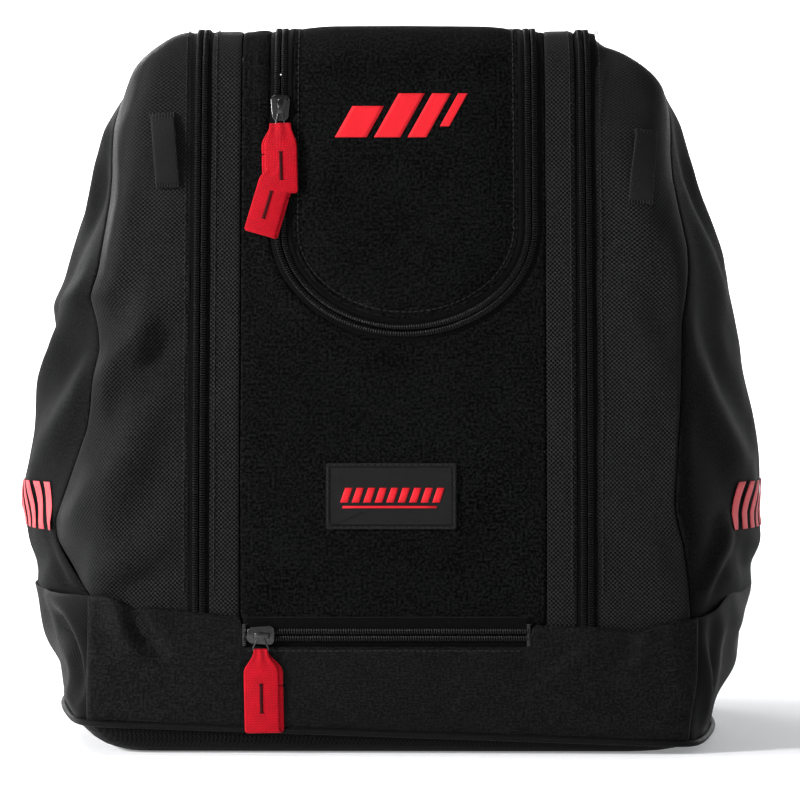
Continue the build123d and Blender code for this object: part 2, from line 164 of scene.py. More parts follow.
# ---- the bag's form ------------------------------------------------------------------------------
# Heights with the half widths at the front, the widest side and the back, then the front and
# back faces counted from the body's middle. Panels start behind the base bands.
PANEL_ROWS = np.array([
    (60, 158.5, 198, 156.5, -150.5, 150.5),
    (84, 159.5, 207.5, 157.5, -151.2, 151.5),
    (120, 160, 213.5, 158, -151.2, 152),
    (155, 158, 214, 157, -150, 152),
    (200, 156, 205, 154, -146.5, 152),
    (240, 152, 194, 151, -142, 152),
    (285, 145, 180, 146, -137, 152),
    (320, 139.5, 169, 141, -132.3, 152),
    (350, 136.5, 153, 136, -128, 151),
    (370, 132, 141, 131, -124, 149),
    (382, 124, 129, 124, -117, 143),
    (388.5, 115, 117, 115, -105, 131),
    (390, 109, 109, 109, -88, 112),
]) * MM
BASE_ROWS = np.array([
    (0.4, 140, 166, 139, -130, 129),
    (1.2, 152, 178, 150, -142, 141),
    (5, 159, 184, 156, -148.5, 147),
    (12, 163, 188, 160, -152, 150),
    (36, 163.5, 194, 161, -153.2, 152),
    (62, 162.5, 202, 160, -153, 152.8),
    (84, 161.5, 210, 159.5, -152.8, 152.8),
]) * MM


def half_ring(row):
    """The right half of one level of the bag, from the middle of the front to that of the back."""
    z, front, side, back, front_y, back_y = row
    corner = min(7 * MM, max(0.0, front - ZIP_X) * 0.2)

    def bulge(share):
        base = front + (back - front) * share
        return (base + (side - base) * (1 - abs(2 * share - 1) ** 1.9),
                front_y + (back_y - front_y) * share)

    pull = [
        (0, front_y), (ZIP_X / 2, front_y), (ZIP_X, front_y),
        ((ZIP_X + front) / 2, front_y), (front - corner, front_y),
        (front + corner * 0.6, front_y + corner),
        bulge(0.16), bulge(0.33), bulge(0.5), bulge(0.67), bulge(0.84),
        (back + corner * 0.6, back_y - corner), (back - corner, back_y),
        ((ZIP_X + back) / 2, back_y), (ZIP_X, back_y), (ZIP_X / 2, back_y), (0, back_y),
    ]
    xy = spline(np.array(pull, float), 420)
    return np.column_stack([xy[:, 0], xy[:, 1] + BODY_Y, np.full(len(xy), z)])


def beyond(ring, x):
    """The stretch of a half ring that lies further out than x, with ends exactly at x."""
    wide = np.where(ring[:, 0] >= x)[0]
    part = ring[wide[0]:wide[-1] + 1].copy()
    part[0, 0] = part[-1, 0] = x
    return part


class Patch:
    """A stack of levels of the bag's right half, from a bottom row to a top row."""

    def __init__(self, rows, inner_x):
        dense = through(rows, 260)
        self.levels = [beyond(half_ring(row), inner_x) for row in dense]
        self.height = lengths(dense[:, [0, 2, 4]])
        self.z = dense[:, 0]
        self.round = np.array([lengths(level)[-1] for level in self.levels])

    def place_of(self, z):
        return float(np.interp(z, self.z, self.height))

    def row(self, place, across):
        """Points at a place up the patch; across gives lengths round from the total and z."""
        i = int(np.clip(np.searchsorted(self.height, place) - 1, 0, len(self.levels) - 2))
        f = np.clip((place - self.height[i]) / (self.height[i + 1] - self.height[i]), 0, 1)
        ends = [even(self.levels[k], across(self.round[k], self.z[k])) for k in (i, i + 1)]
        return ends[0] * (1 - f) + ends[1] * f

    def grid(self, places, across):
        """A grid of points, with how far round and how far up the patch each one lies."""
        points = np.array([self.row(place, across) for place in places])
        zs = np.interp(places, self.height, self.z)
        rounds = np.interp(places, self.height, self.round)
        round_at = np.array([across(total, z) for total, z in zip(rounds, zs)])
        up = np.repeat(np.array(places)[:, None], points.shape[1], axis=1)
        return points, round_at, up


DOORS = Patch(PANEL_ROWS, DOOR_X)
BASE = Patch(BASE_ROWS, 0.0)

# The side view of the middle of the bag: up the front, over the top and down the back.
FRONT_EDGE = np.array([level[0] for level in DOORS.levels])
BACK_EDGE = np.array([level[-1] for level in DOORS.levels])
PROFILE = np.vstack([FRONT_EDGE, BACK_EDGE[::-1]])[:, 1:]
PROFILE_RUN = lengths(PROFILE)


def front_run(z):
    """Running length along the profile at a height on the front."""
    return float(np.interp(z, FRONT_EDGE[:, 2], PROFILE_RUN[:len(FRONT_EDGE)]))


def middle_points(x, run, out=0.0):
    """Points on the middle of the bag: x across, run along the profile, out from the face."""
    x, run, out = np.broadcast_arrays(x, run, out)
    step = 1.5 * MM
    flat = run.ravel()
    y, z = (np.interp(flat, PROFILE_RUN, PROFILE[:, k]) for k in (0, 1))
    dy, dz = (
        np.interp(flat + step, PROFILE_RUN, PROFILE[:, k])
        - np.interp(flat - step, PROFILE_RUN, PROFILE[:, k]) for k in (0, 1)
    )
    size = np.hypot(dy, dz)
    points = [x.ravel(), y - out.ravel() * dz / size, z + out.ravel() * dy / size]
    return np.stack(points, 1).reshape(*x.shape, 3)


BOTTOM_RUN = front_run(62 * MM)
PANEL_RUN = front_run(BAND_Z)
HINGE_RUN = float(np.interp(
    HINGE_Y, PROFILE[len(FRONT_EDGE) - 1:len(FRONT_EDGE) + 60, 0],
    PROFILE_RUN[len(FRONT_EDGE) - 1:len(FRONT_EDGE) + 60]))
LID_END_RUN = front_run(LID_END_Z)
LID_BEND_RUN = front_run(LID_BEND_Z)
LID_DROP = LID_BEND_RUN - LID_END_RUN


def lid_line(inset, count=260):
    """The line round the lid at an inset from its zipper: down the left, round and up the right."""
    half, drop = LID_HALF - inset, LID_DROP - inset
    turn = np.linspace(math.pi, 2 * math.pi, 120)
    bend = np.column_stack([LID_X + half * np.cos(turn), LID_BEND_RUN + drop * np.sin(turn)])
    line = np.vstack([[LID_X - half, HINGE_RUN], bend, [LID_X + half, HINGE_RUN]])
    return even(line, np.linspace(0, lengths(line)[-1], count))


# ---- shader maths --------------------------------------------------------------------------------
class Value:
    """A socket that takes part in Python arithmetic by adding Math nodes."""

    def __init__(self, maker, socket):
        self.maker, self.socket = maker, socket

    def _math(self, operation, *others, swap=False):
        terms = [self, *others]
        if swap:
            terms = terms[::-1]
        return self.maker.node("ShaderNodeMath", {"operation": operation}, *terms)

    def __add__(self, other):
        return self._math("ADD", other)

    def __mul__(self, other):
        return self._math("MULTIPLY", other)

    def __sub__(self, other):
        return self._math("SUBTRACT", other)

    __radd__ = __add__

    def __rsub__(self, other):
        return self._math("SUBTRACT", other, swap=True)

    def __truediv__(self, other):
        return self._math("DIVIDE", other)

    def abs(self):
        return self._math("ABSOLUTE")

    def fract(self):
        return self._math("FRACT")

    def sine(self):
        return self._math("SINE")

    def above(self, other):
        return self._math("GREATER_THAN", other)


class Finish:
    """One material: a Principled shader and the nodes that feed it."""

    def __init__(self, name):
        self.material = bpy.data.materials.new(name)
        self.material.use_nodes = True
        self.tree = self.material.node_tree
        self.shader = self.tree.nodes["Principled BSDF"]

    def node(self, kind, settings, *inputs, out=0, **named):
        """A node of a kind, with its settings first and then its inputs, by order or by name."""
        made = self.tree.nodes.new(kind)
        stops = settings.get("stops")
        for key, value in settings.items():
            if key != "stops":
                setattr(made, key, value)
        if stops:
            ramp = made.color_ramp
            while len(ramp.elements) < len(stops):
                ramp.elements.new(0.5)
            for element, (place, colour) in zip(ramp.elements, stops):
                element.position, element.color = place, colour
        pairs = list(enumerate(inputs)) + [(k.replace("_", " "), v) for k, v in named.items()]
        for key, value in pairs:
            if isinstance(value, Value):
                self.tree.links.new(value.socket, made.inputs[key])
            elif value is not None:
                made.inputs[key].default_value = value
        return Value(self, made.outputs[out])

    def mix(self, share, first, second):
        """A colour between two colours."""
        return self.node("ShaderNodeMix", {"data_type": "RGBA"}, share, None, None, None, None,
                         None, first, second, out=2)

    def noise(self, place, scale, detail=2.0, rough=0.5, stretch=None):
        if stretch:
            place = self.node("ShaderNodeMapping", {}, place, Scale=stretch)
        return self.node("ShaderNodeTexNoise", {}, place, Scale=scale, Detail=detail,
                         Roughness=rough)

    def cloth_place(self):
        """The cloth's own coordinates in metres: u across, v along."""
        uv = self.node("ShaderNodeTexCoord", {}, out=2)
        return uv, *(self.node("ShaderNodeSeparateXYZ", {}, uv, out=k) for k in (0, 1))

    def upright_place(self):
        """Place on the object: x across and z up, for cloth that faces front or back."""
        place = self.object_place()
        return place, *(self.node("ShaderNodeSeparateXYZ", {}, place, out=k) for k in (0, 2))

    def object_place(self):
        return self.node("ShaderNodeTexCoord", {}, out=3)

    def set(self, **sockets):
        for key, value in sockets.items():
            key = key.replace("_", " ")
            if isinstance(value, Value):
                self.tree.links.new(value.socket, self.shader.inputs[key])
            else:
                self.shader.inputs[key].default_value = value
        return self

    def bump(self, height, depth):
        """Relief from a height between 0 and 1 and a depth in metres."""
        made = self.node("ShaderNodeBump", {}, Strength=1.0, Distance=depth, Height=height)
        return self.set(Normal=made)


def grey(value):
    return (value, value, value, 1.0)


def woven(name, dark, light, pitch, basket=1, roughness=0.72, sheen=0.25, relief=0.12 * MM,
          streak=0.35, painted_weave_light=0.12, lints=1.2, specular=0.08, own_place=True, grain=1300.0):
    """Woven cloth: threads over and under at a pitch in metres, with streaks and lint, and painted shade:
    thread crowns lighter than the gaps between them, and the threads on top lighter than those under.
    """
    f = Finish(name)
    uv, u, v = f.cloth_place() if own_place else f.upright_place()
    across, along = u / pitch, v / pitch
    # a thread's crown, rounded across its width
    warp = (across * math.pi).sine().abs()
    weft = (along * math.pi).sine().abs()
    # which thread lies on top: a chequer of cells, several threads wide in a basket weave
    cell_u = (across / (2 * basket)).fract().above(0.5)
    cell_v = (along / (2 * basket)).fract().above(0.5)
    on_top = (cell_u - cell_v).abs()
    height = warp * on_top + weft * (1 - on_top)
    picks = f.noise(uv, 1.0, 2.0, 0.6, stretch=(110.0, 1100.0, 110.0)) - 0.5
    ends = f.noise(uv, 1.0, 2.0, 0.6, stretch=(1100.0, 110.0, 1100.0)) - 0.5
    cloud = f.noise(uv, 38.0, 4.0, 0.6)
    lint = f.noise(uv, grain, 2.0, 0.5)
    # painted shade in the colour: the threads' crowns (height) lighter and the gaps darker, and the threads on
    # top lighter by painted_weave_light; the streaks, cloud and lint are the cloth's own tone
    shade = (height * 0.4 + (picks + ends) * streak * 2.2 + (cloud - 0.5) * 0.6
             + (lint - 0.5) * lints + (on_top - 0.5) * painted_weave_light + 0.24)
    colour = f.node("ShaderNodeValToRGB", {"stops": [
        (0.12, grey(dark)), (0.55, grey(dark * 0.62 + light * 0.38)), (0.95, grey(light)),
    ]}, shade)
    f.set(Base_Color=colour, Roughness=roughness - height * 0.12 + cloud * 0.08)
    f.set(Sheen_Weight=sheen, Sheen_Roughness=0.45, Specular_IOR_Level=specular)
    return f.bump(height * 0.8 + lint * 0.2, relief).material


FINE = woven("fine_oxford_cloth", 0.0001, 0.0064, 0.62 * MM, roughness=0.70, sheen=0.002,
             streak=0.5, painted_weave_light=0.5, lints=4.6, specular=0.025, grain=700.0)
BALLISTIC = woven("ballistic_basket_cloth", 0.0001, 0.0150, 0.58 * MM, basket=2, roughness=0.56,
                  sheen=0.006, relief=0.30 * MM, streak=0.5, painted_weave_light=1.0, lints=2.0, specular=0.06)
BASE_CLOTH = woven("coated_base_cloth", 0.0008, 0.0078, 0.55 * MM, roughness=0.55, sheen=0.006,
                   relief=0.06 * MM, streak=0.7, lints=3.6, specular=0.05, grain=700.0)
# the base's side and floor cloth: a coarser weave, and darker than the front band as painted shade of the
# sides
SHADED_SIDE_BASE_CLOTH = woven("base_side_cloth_painted_shade", 0.0002, 0.0070, 0.58 * MM, basket=2, roughness=0.60,
                        sheen=0.006, relief=0.2 * MM, streak=0.4, painted_weave_light=0.9, specular=0.035)
LINING = woven("lining_cloth", 0.010, 0.022, 0.5 * MM, roughness=0.8)
PAD_CLOTH = woven("pad_mesh_cloth", 0.0012, 0.014, 1.1 * MM, roughness=0.8, sheen=0.05,
                  relief=0.35 * MM, streak=0.2, painted_weave_light=0.3, own_place=False)


def ribbed(name, dark, light, pitch, relief, roughness=0.55, specular=0.12):
    """Webbing: strong ribs across its length and finer threads along it, with painted shade: crowns lighter
    and the gaps between them darker.
    """
    f = Finish(name)
    uv, u, v = f.cloth_place()
    rib = (v / pitch * math.pi).sine().abs()
    thread = ((u / (pitch * 0.62)) * math.pi).sine().abs()
    offset = ((v / pitch + (u / (pitch * 1.24)).fract().above(0.5) * 0.5) * math.pi).sine().abs()
    height = offset * 0.6 + rib * 0.2 + thread * 0.2
    wear = f.noise(uv, 160.0, 4.0, 0.6)
    # colour lighter on the crowns of ribs and threads and darker between them: painted shade of the relief;
    # wear adds a random tone
    shade = height * 0.75 + wear * 0.4 - 0.08
    colour = f.node("ShaderNodeValToRGB", {"stops": [(0.1, dark), (0.9, light)]}, shade)
    f.set(Base_Color=colour, Roughness=roughness + wear * 0.15, Sheen_Weight=0.03,
          Sheen_Roughness=0.4, Specular_IOR_Level=specular)
    return f.bump(height, relief).material


RED_WEBBING = ribbed("red_webbing", (0.09, 0.0004, 0.002, 1), (0.54, 0.003, 0.014, 1), 1.35 * MM,
                     0.44 * MM, specular=0.08)
BLACK_WEBBING = ribbed("black_webbing", grey(0.0003), grey(0.0075), 1.3 * MM, 0.25 * MM)
TAPE = ribbed("zipper_tape", grey(0.0002), grey(0.0028), 0.7 * MM, 0.18 * MM, roughness=0.7,
              specular=0.035)


def moulded(name, colour, light, roughness, metallic=0.0, coat=0.0, specular=0.3):
    """Hard parts: a colour that varies a little, fine grain and rubbed places."""
    f = Finish(name)
    place = f.object_place()
    cloud = f.noise(place, 90.0, 4.0, 0.6)
    grain = f.noise(place, 2500.0, 2.0, 0.5)
    f.set(Base_Color=f.mix(cloud, colour, light), Roughness=roughness + cloud * 0.12 - 0.06,
          Metallic=metallic, Coat_Weight=coat, Specular_IOR_Level=specular)
    return f.bump(grain, 0.02 * MM).material


COIL = moulded("coil_nylon", grey(0.0003), grey(0.0020), 0.30, specular=0.20)
SLIDER_METAL = moulded("slider_black_metal", grey(0.0020), grey(0.0065), 0.26, metallic=0.1,
                       coat=0.5)
BUCKLE = moulded("buckle_plastic", grey(0.006), grey(0.012), 0.42)
LABEL_RUBBER = moulded("label_rubber", grey(0.0022), grey(0.0050), 0.50, specular=0.16)
RED_INK = moulded("red_ink", (0.46, 0.008, 0.014, 1), (0.62, 0.016, 0.024, 1), 0.6, specular=0.1)
PALE_RED_INK = moulded("pale_red_ink", (0.42, 0.045, 0.055, 1), (0.56, 0.09, 0.10, 1), 0.6,
                       specular=0.1)
# pale grey thread for the pocket's end tacks: its paleness is a painted highlight
TACK_HIGHLIGHT_THREAD = moulded("grey_thread_painted_highlight", grey(0.02), grey(0.05), 0.6, specular=0.1)
# thread paler than the black thread, for the stitching along the pocket's lip
PALE_THREAD = moulded("pocket_lip_thread", grey(0.007), grey(0.018), 0.6, specular=0.1)
BLACK_THREAD = moulded("black_thread", grey(0.003), grey(0.014), 0.6, specular=0.15)
DARK_RED_THREAD = moulded("dark_red_thread", (0.012, 0.001, 0.0015, 1), (0.03, 0.002, 0.003, 1),
                          0.6,
                          specular=0.1)
BOARD = moulded("board_plastic", grey(0.015), grey(0.03), 0.6)


# ---- making pieces -------------------------------------------------------------------------------
def keep(bm, name, material, body=None, slot=None, replaces=(), smooth=True):
    """Turn a bmesh into a named piece with a material that rides on a body."""
    mesh = bpy.data.meshes.new(name)
    bm.to_mesh(mesh)
    bm.free()
    piece = bpy.data.objects.new(name, mesh)
    bpy.context.scene.collection.objects.link(piece)
    mesh.materials.append(material)
    if smooth:
        mesh.shade_smooth()
    if replaces:
        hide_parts(*replaces)
    if body:
        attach(piece, body)
    return piece


def grid_places(verts, rows, columns):
    """Each vertex of a made grid with its row and column."""
    return [(vert, round((vert.co.y + 1) / 2 * (rows - 1)),
             round((vert.co.x + 1) / 2 * (columns - 1))) for vert in verts]


def cloth_grid(points, uv):
    """A grid whose rows run up the cloth, moved to its points, with the cloth's own coordinates."""
    rows, columns = points.shape[:2]
    bm = bmesh.new()
    layer = bm.loops.layers.uv.new("UVMap")
    bmesh.ops.create_grid(bm, x_segments=columns - 1, y_segments=rows - 1, size=1.0)
    for vert, i, j in grid_places(bm.verts, rows, columns):
        vert.co = points[i, j]
        for loop in vert.link_loops:
            loop[layer].uv = uv[i, j]
    return bm


def mirror_points(points, sign):
    """The same grid on the left (-1) or right (+1) side, still seen from outside."""
    if sign > 0:
        return points
    flipped = points[:, ::-1].copy()
    flipped[..., 0] *= -1
    return flipped


def thicken(piece, thickness, levels=1):
    """Give cloth its thickness inwards and a smooth surface."""
    solid = piece.modifiers.new("thickness", "SOLIDIFY")
    solid.thickness = thickness
    solid.offset = -1.0
    solid.use_even_offset = False
    if levels:
        smooth = piece.modifiers.new("smooth", "SUBSURF")
        smooth.levels = smooth.render_levels = levels
    return piece


def cloth_piece(name, points, uv, material, thickness, levels=1, **rest):
    """A named piece of cloth from a grid of points, with its thickness."""
    return thicken(keep(cloth_grid(points, uv), name, material, **rest), thickness, levels)


def round_off(bm, edges, offset, segments):
    bmesh.ops.bevel(bm, geom=edges, offset=offset, segments=segments, profile=0.5, affect="EDGES",
                    material=-1)


def block(bm, size, place=(0, 0, 0)):
    """A box of a size at a place."""
    matrix = Matrix.Translation(place) @ Matrix.Diagonal((*size, 1))
    return bmesh.ops.create_cube(bm, size=1.0, matrix=matrix)


def upright_edges(bm):
    return [e for e in bm.edges if abs(e.verts[0].co.z - e.verts[1].co.z) > MM]


def soft_edges(piece, width, angle):
    """A small bevel on a hard part's sharp edges."""
    soft = piece.modifiers.new("edges", "BEVEL")
    soft.width, soft.segments, soft.limit_method, soft.angle_limit = width, 2, "ANGLE", angle


def bars(name, places, size, material, soften=0.25, **rest):
    """Many small rounded bars, such as coil teeth or stitches, one at each placement."""
    bm = bmesh.new()
    scale = Matrix.Diagonal((*size, 1.0))
    for place in places:
        bmesh.ops.create_cube(bm, size=1.0, matrix=place @ scale)
    round_off(bm, bm.edges[:], min(size) * soften, 1)
    return keep(bm, name, material, **rest)


def facing(origin, along, outwards):
    """A placement: local y along a direction, z outwards."""
    along = Vector(along).normalized()
    outwards = Vector(outwards)
    outwards = (outwards - along * outwards.dot(along)).normalized()
    across = along.cross(outwards)
    turn = Matrix((across, along, outwards)).transposed().to_4x4()
    return Matrix.Translation(Vector(origin)) @ turn


def steps_along(points, normals, pitch, start=0.0, end=0.0):
    """Placements every pitch along a line of points with outward normals."""
    run = lengths(points)
    places = np.arange(start, run[-1] - end, pitch)
    at = even(points, places)
    out = np.stack([np.interp(places, run, normals[:, k]) for k in range(3)], 1)
    ahead = even(points, np.clip(places + 0.5 * MM, 0, run[-1]))
    behind = even(points, np.clip(places - 0.5 * MM, 0, run[-1]))
    return [facing(p, a - b, n) for p, a, b, n in zip(at, ahead, behind, out)]


def shifted(places, across, out, along=0.0):
    """The same placements moved across, along and out from their own line."""
    return [place @ Matrix.Translation((across, along, out)) for place in places]


def cross_ways(points, axis=(1.0, 0, 0)):
    """Unit directions square to both a line and an axis."""
    ways = np.cross(np.gradient(points, axis=0), axis)
    return ways / np.linalg.norm(ways, axis=1, keepdims=True)


def line_normals(points, towards):
    """Outward normals of a line of points, given the same line moved outwards."""
    normals = towards - points
    return normals / np.linalg.norm(normals, axis=1, keepdims=True)


def ribbon(name, points, normals, offsets, lifts, material, thickness=0.9 * MM, levels=1, **rest):
    """A strip of tape or webbing along a line: offsets across it, with a lift at each offset."""
    along = np.gradient(points, axis=0)
    across = np.cross(along, normals)
    across /= np.linalg.norm(across, axis=1, keepdims=True)
    grid = (points[:, None] + across[:, None] * np.array(offsets)[None, :, None]
            + normals[:, None] * np.array(lifts)[None, :, None])
    run = lengths(points)
    u, v = np.meshgrid(offsets, run)
    return cloth_piece(name, grid, np.stack([u, v], 2), material, thickness, levels, **rest)


def tube(name, points, radius, material, ring=10, closed=False, **rest):
    """A round cord along points, such as piping or wire."""
    curve = bpy.data.curves.new(name, "CURVE")
    curve.dimensions = "3D"
    line = curve.splines.new("POLY")
    line.points.add(len(points) - 1)
    for point, co in zip(line.points, points):
        point.co = (*co, 1.0)
    line.use_cyclic_u = closed
    curve.bevel_depth = radius
    curve.bevel_resolution = ring // 2 - 1
    curve.use_fill_caps = not closed
    holder = bpy.data.objects.new(name, curve)
    mesh = bpy.data.meshes.new_from_object(holder)
    bm = bmesh.new()
    bm.from_mesh(mesh)
    bpy.data.objects.remove(holder)
    bpy.data.meshes.remove(mesh)
    bmesh.ops.recalc_face_normals(bm, faces=bm.faces[:])
    return keep(bm, name, material, **rest)


# Heights, then the coarse cloth's reach at each of them, in millimetres.
SEAM_REACH = {
    -1: ((60, 84, 97, 112, 122, 140, 159, 172, 200, 392),
         (55, 56, 74, 97, 100, 85, 71, 62, 57, 55)),
    1: ((60, 84, 134, 200, 300, 392), (52, 50, 43, 46, 50, 52)),
}


def seam_from_front(z, sign):
    """How far round from the zipper the coarse front cloth reaches, at each height."""
    return np.interp(z / MM, *SEAM_REACH[sign]) * MM


# Folds, in millimetres: pairs of round from the zipper and height, then the rise and the width.
FRONT_FOLDS = {
    -1: [
        (4, 252, 22, 232, 54, 199, 2.4, 9), (12, 193, 26, 172, 42, 142, 2.6, 10),
        (20, 258, 28, 215, 32, 186, 1.2, 6), (2, 226, 24, 204, 52, 178, -1.6, 8),
        (44, 330, 38, 300, 44, 262, 1.6, 9), (10, 120, 34, 104, 60, 90, 1.8, 10),
        (4, 158, 20, 140, 34, 112, -1.6, 9), (30, 372, 44, 362, 52, 350, 1.4, 8),
        (52, 150, 70, 128, 96, 116, 1.8, 10), (6, 102, 26, 92, 44, 84, -1.6, 7),
    ],
    1: [
        (34, 188, 38, 150, 43, 114, 48, 84, -2.2, 8), (6, 330, 22, 290, 26, 250, 1.2, 11),
        (8, 250, 26, 214, 34, 180, 1.5, 10), (2, 190, 18, 160, 30, 128, -1.2, 9),
        (4, 128, 22, 108, 42, 92, 1.4, 9), (14, 372, 28, 366, 44, 352, 1.6, 8),
        (36, 300, 30, 262, 36, 226, -1.2, 9),
    ],
}
GUSSET_FOLDS = {
    -1: [
        (55, 255, 110, 226, 180, 196, 3.2, 13), (70, 300, 120, 270, 170, 222, -2.2, 14),
        (62, 200, 100, 172, 150, 150, 2.6, 14), (100, 118, 80, 100, 58, 85, 2.6, 7),
        (110, 106, 150, 96, 200, 92, -2.2, 9), (190, 300, 210, 240, 230, 170, 2.2, 16),
        (250, 320, 262, 250, 300, 180, -2.2, 15), (300, 250, 340, 200, 380, 150, 2.4, 15),
        (66, 345, 92, 318, 120, 282, 2.0, 12), (150, 140, 220, 128, 300, 134, 1.8, 14),
    ],
    1: [
        (96, 116, 78, 102, 58, 84, 3.0, 7), (70, 290, 110, 250, 160, 226, 2.6, 15),
        (62, 240, 96, 206, 140, 176, -2.4, 13), (90, 330, 120, 296, 150, 262, 2.2, 14),
        (110, 104, 160, 94, 210, 94, -2.2, 9), (196, 300, 214, 240, 236, 170, 2.2, 16),
        (256, 320, 266, 250, 300, 180, -2.2, 15), (300, 250, 340, 200, 384, 150, 2.4, 15),
        (70, 190, 104, 160, 150, 140, 2.2, 13), (64, 345, 84, 320, 104, 290, -1.6, 10),
    ],
}


FOLD_DEPTH = 1.35


def folds(round_at, z, strokes):
    """Height of the cloth's folds: each stroke is a soft ridge or valley along its line."""
    here = np.stack([round_at.ravel(), z.ravel()], 1) / MM
    height = np.zeros(len(here))
    for *pairs, rise, width in strokes:
        line = through(np.array(pairs, float).reshape(-1, 2), 40)
        gap = np.linalg.norm(here[:, None] - line[None], axis=2)
        nearest = gap.min(axis=1)
        along = gap.argmin(axis=1) / (len(line) - 1)
        fade = np.sin(np.pi * np.clip(along * 0.86 + 0.07, 0, 1)) ** 0.6
        beside = np.exp(-((nearest - 1.7 * width) / width) ** 2)
        ridge = np.exp(-(nearest / width) ** 2) - 0.45 * beside
        height += FOLD_DEPTH * rise * fade * ridge
    return height.reshape(round_at.shape) * MM


OUTLINE = {
    -1: ((0.20, 0.215, 0.23, 0.244, 0.257, 0.27, 0.297, 0.310, 0.323, 0.337, 0.350, 0.363, 0.376),
         (0.0, -2.0, 0.5, 6.0, 3.0, 2.6, 2.2, 3.2, 5.4, 7.6, 7.4, 5.6, 5.4)),
    1: ((0.11, 0.125, 0.23, 0.244, 0.257, 0.27, 0.284, 0.297, 0.310, 0.323, 0.337, 0.350, 0.363, 0.376),
        (1.0, -1.0, 1.6, 4.2, 6.2, 6.9, 5.4, 4.2, 3.4, 4.6, 7.4, 10.0, 12.0, 9.0)),
}


def shoulder(points, sign):
    """Each shoulder's own outline: how much wider it stands, and how far the right one sags."""
    points = points.copy()
    aside = smooth_step((points[..., 0] - DOOR_X - 4 * MM) / (42 * MM))
    points[..., 0] += aside * np.interp(points[..., 2], *OUTLINE[sign]) * MM
    if sign > 0:
        high = smooth_step((points[..., 2] - 0.33) / 0.05)
        points[..., 2] -= 7 * MM * high * smooth_step((points[..., 0] - DOOR_X + 2 * MM) / (9 * MM))
    return points


def door_cloth(sign, start, end, strokes, wave, seed):
    """A grid of one door's cloth between two lengths round, with its folds."""
    low = DOORS.place_of(62 * MM)
    high = DOORS.height[-1]
    places = np.unique(np.concatenate([
        np.linspace(low, DOORS.place_of(83 * MM), 5), np.linspace(DOORS.place_of(84 * MM),
        DOORS.place_of(96 * MM), 8), spaced(DOORS.place_of(97 * MM) - HEM_ROLL, high)[3:]]))
    share = spaced(0.0, 1.0 * (end(DOORS.round[90], 0.16) - start(0.16)))
    share = share / share[-1]

    def across(total, z):
        first = start(z)
        return first + (end(total, z) - first) * share

    points, round_at, up = DOORS.grid(places, across)
    points = shoulder(points, sign)
    first, last = round_at[:, :1], round_at[:, -1:]
    rim = np.minimum(np.minimum(round_at - first, last - round_at), high - up)
    calm = smooth_step((rim - 1 * MM) / (16 * MM))
    lift = folds(round_at, points[..., 2], strokes) * (0.35 + 0.65 * calm)
    lift += wave * calm * (ripple(points, 17.0, seed) + 0.5 * ripple(points, 41.0, seed + 3))
    lift -= hem_dip(rim)
    groove = np.exp(-((rim - 4.4 * MM) / (0.9 * MM)) ** 2)
    lift -= 0.35 * MM * groove
    points = points + normals_of(points) * lift[..., None]
    uv = np.stack([round_at * sign, up], 2)
    if sign < 0:
        uv = uv[:, ::-1]
    return mirror_points(points, sign), uv


def door_spot(sign, round_at, z, out=0.0):
    """A place on a door, with the directions across and up its face and out of it."""
    step = 1.5 * MM
    place = DOORS.place_of(z)
    here, aside, above = (
        DOORS.row(place + up, lambda total, z: np.array([round_at + over, round_at + over]))[0]
        for over, up in ((0, 0), (step, 0), (0, step))
    )
    across, up = aside - here, above - here
    across, up = across / np.linalg.norm(across), up / np.linalg.norm(up)
    outwards = np.cross(across, up)
    here = shoulder((here + outwards * out)[None], sign)[0]
    flip = np.array([sign, 1, 1])
    return here * flip, across * flip * sign, up * flip, outwards * flip


# ---- zippers -------------------------------------------------------------------------------------
PITCH = 1.3 * MM                            # from one turn of coil to the next on the same side
TURN = (3.1 * MM, 0.80 * MM, 1.05 * MM)     # one turn: across, along and out
TURN_ASIDE = 1.80 * MM                      # its middle from the line where both sides meet
TAPE_THICK = 0.5 * MM
STITCH, STITCH_STEP = (0.55 * MM, 2.3 * MM, 0.4 * MM), 3.3 * MM
LINE_STEP = 4 * MM


def coil(name, points, normals, side, lift=0.9 * MM, **rest):
    """One side's turns of a coil zipper, standing along its line and meeting the other side's."""
    places = steps_along(points, normals, PITCH, PITCH * (0.5 if side > 0 else 1.0))
    return bars(name, shifted(places, side * TURN_ASIDE, lift), TURN, COIL, soften=0.36,
                slot="zipper", **rest)


def stitches(name, points, normals, material=BLACK_THREAD, lift=0.25 * MM, start=3 * MM,
             end=3 * MM, **rest):
    """A row of stitches along a line."""
    places = steps_along(points, normals, STITCH_STEP, start, end)
    return bars(name, shifted(places, 0.0, lift), STITCH, material, soften=0.3, **rest)


def middle_line(x, start, end, out=0.0):
    """A line up the middle of the bag with its outward normals."""
    run = np.linspace(start, end, max(4, round((end - start) / LINE_STEP)))
    points = middle_points(x, run, out)
    return points, line_normals(points, middle_points(x, run, out + MM))


def zipper_side(sign, n):
    """A door's long zipper: both tapes with their turns of coil, up the front and down the back."""
    points, normals = middle_line(sign * ZIP_X, BOTTOM_RUN, PROFILE_RUN[-1] - BOTTOM_RUN)
    outer = np.array([0.3, 2.2, 2.9, 5.6, 7.0]) * MM
    lifts = np.array([0.0, 0.0, -0.5, -0.7, -1.2]) * MM
    order = slice(None, None, sign)
    door_blend(ribbon(f"{n}_door_tape", points, normals, (outer * sign)[order], lifts[order], TAPE,
                      TAPE_THICK, 0, slot="zipper", replaces=(f"{n}_zipper_door_half",)))
    door_blend(coil(f"{n}_door_coil", points, normals, sign))
    ribbon(f"{n}_bag_tape", points, normals, (-outer * sign)[::-1], lifts[::-1], TAPE, TAPE_THICK,
           0, slot="zipper", body="bag", replaces=(f"{n}_zipper_bag_half",))
    coil(f"{n}_bag_coil", points, normals, -sign, body="bag")


def door_blend(piece):
    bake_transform(piece)


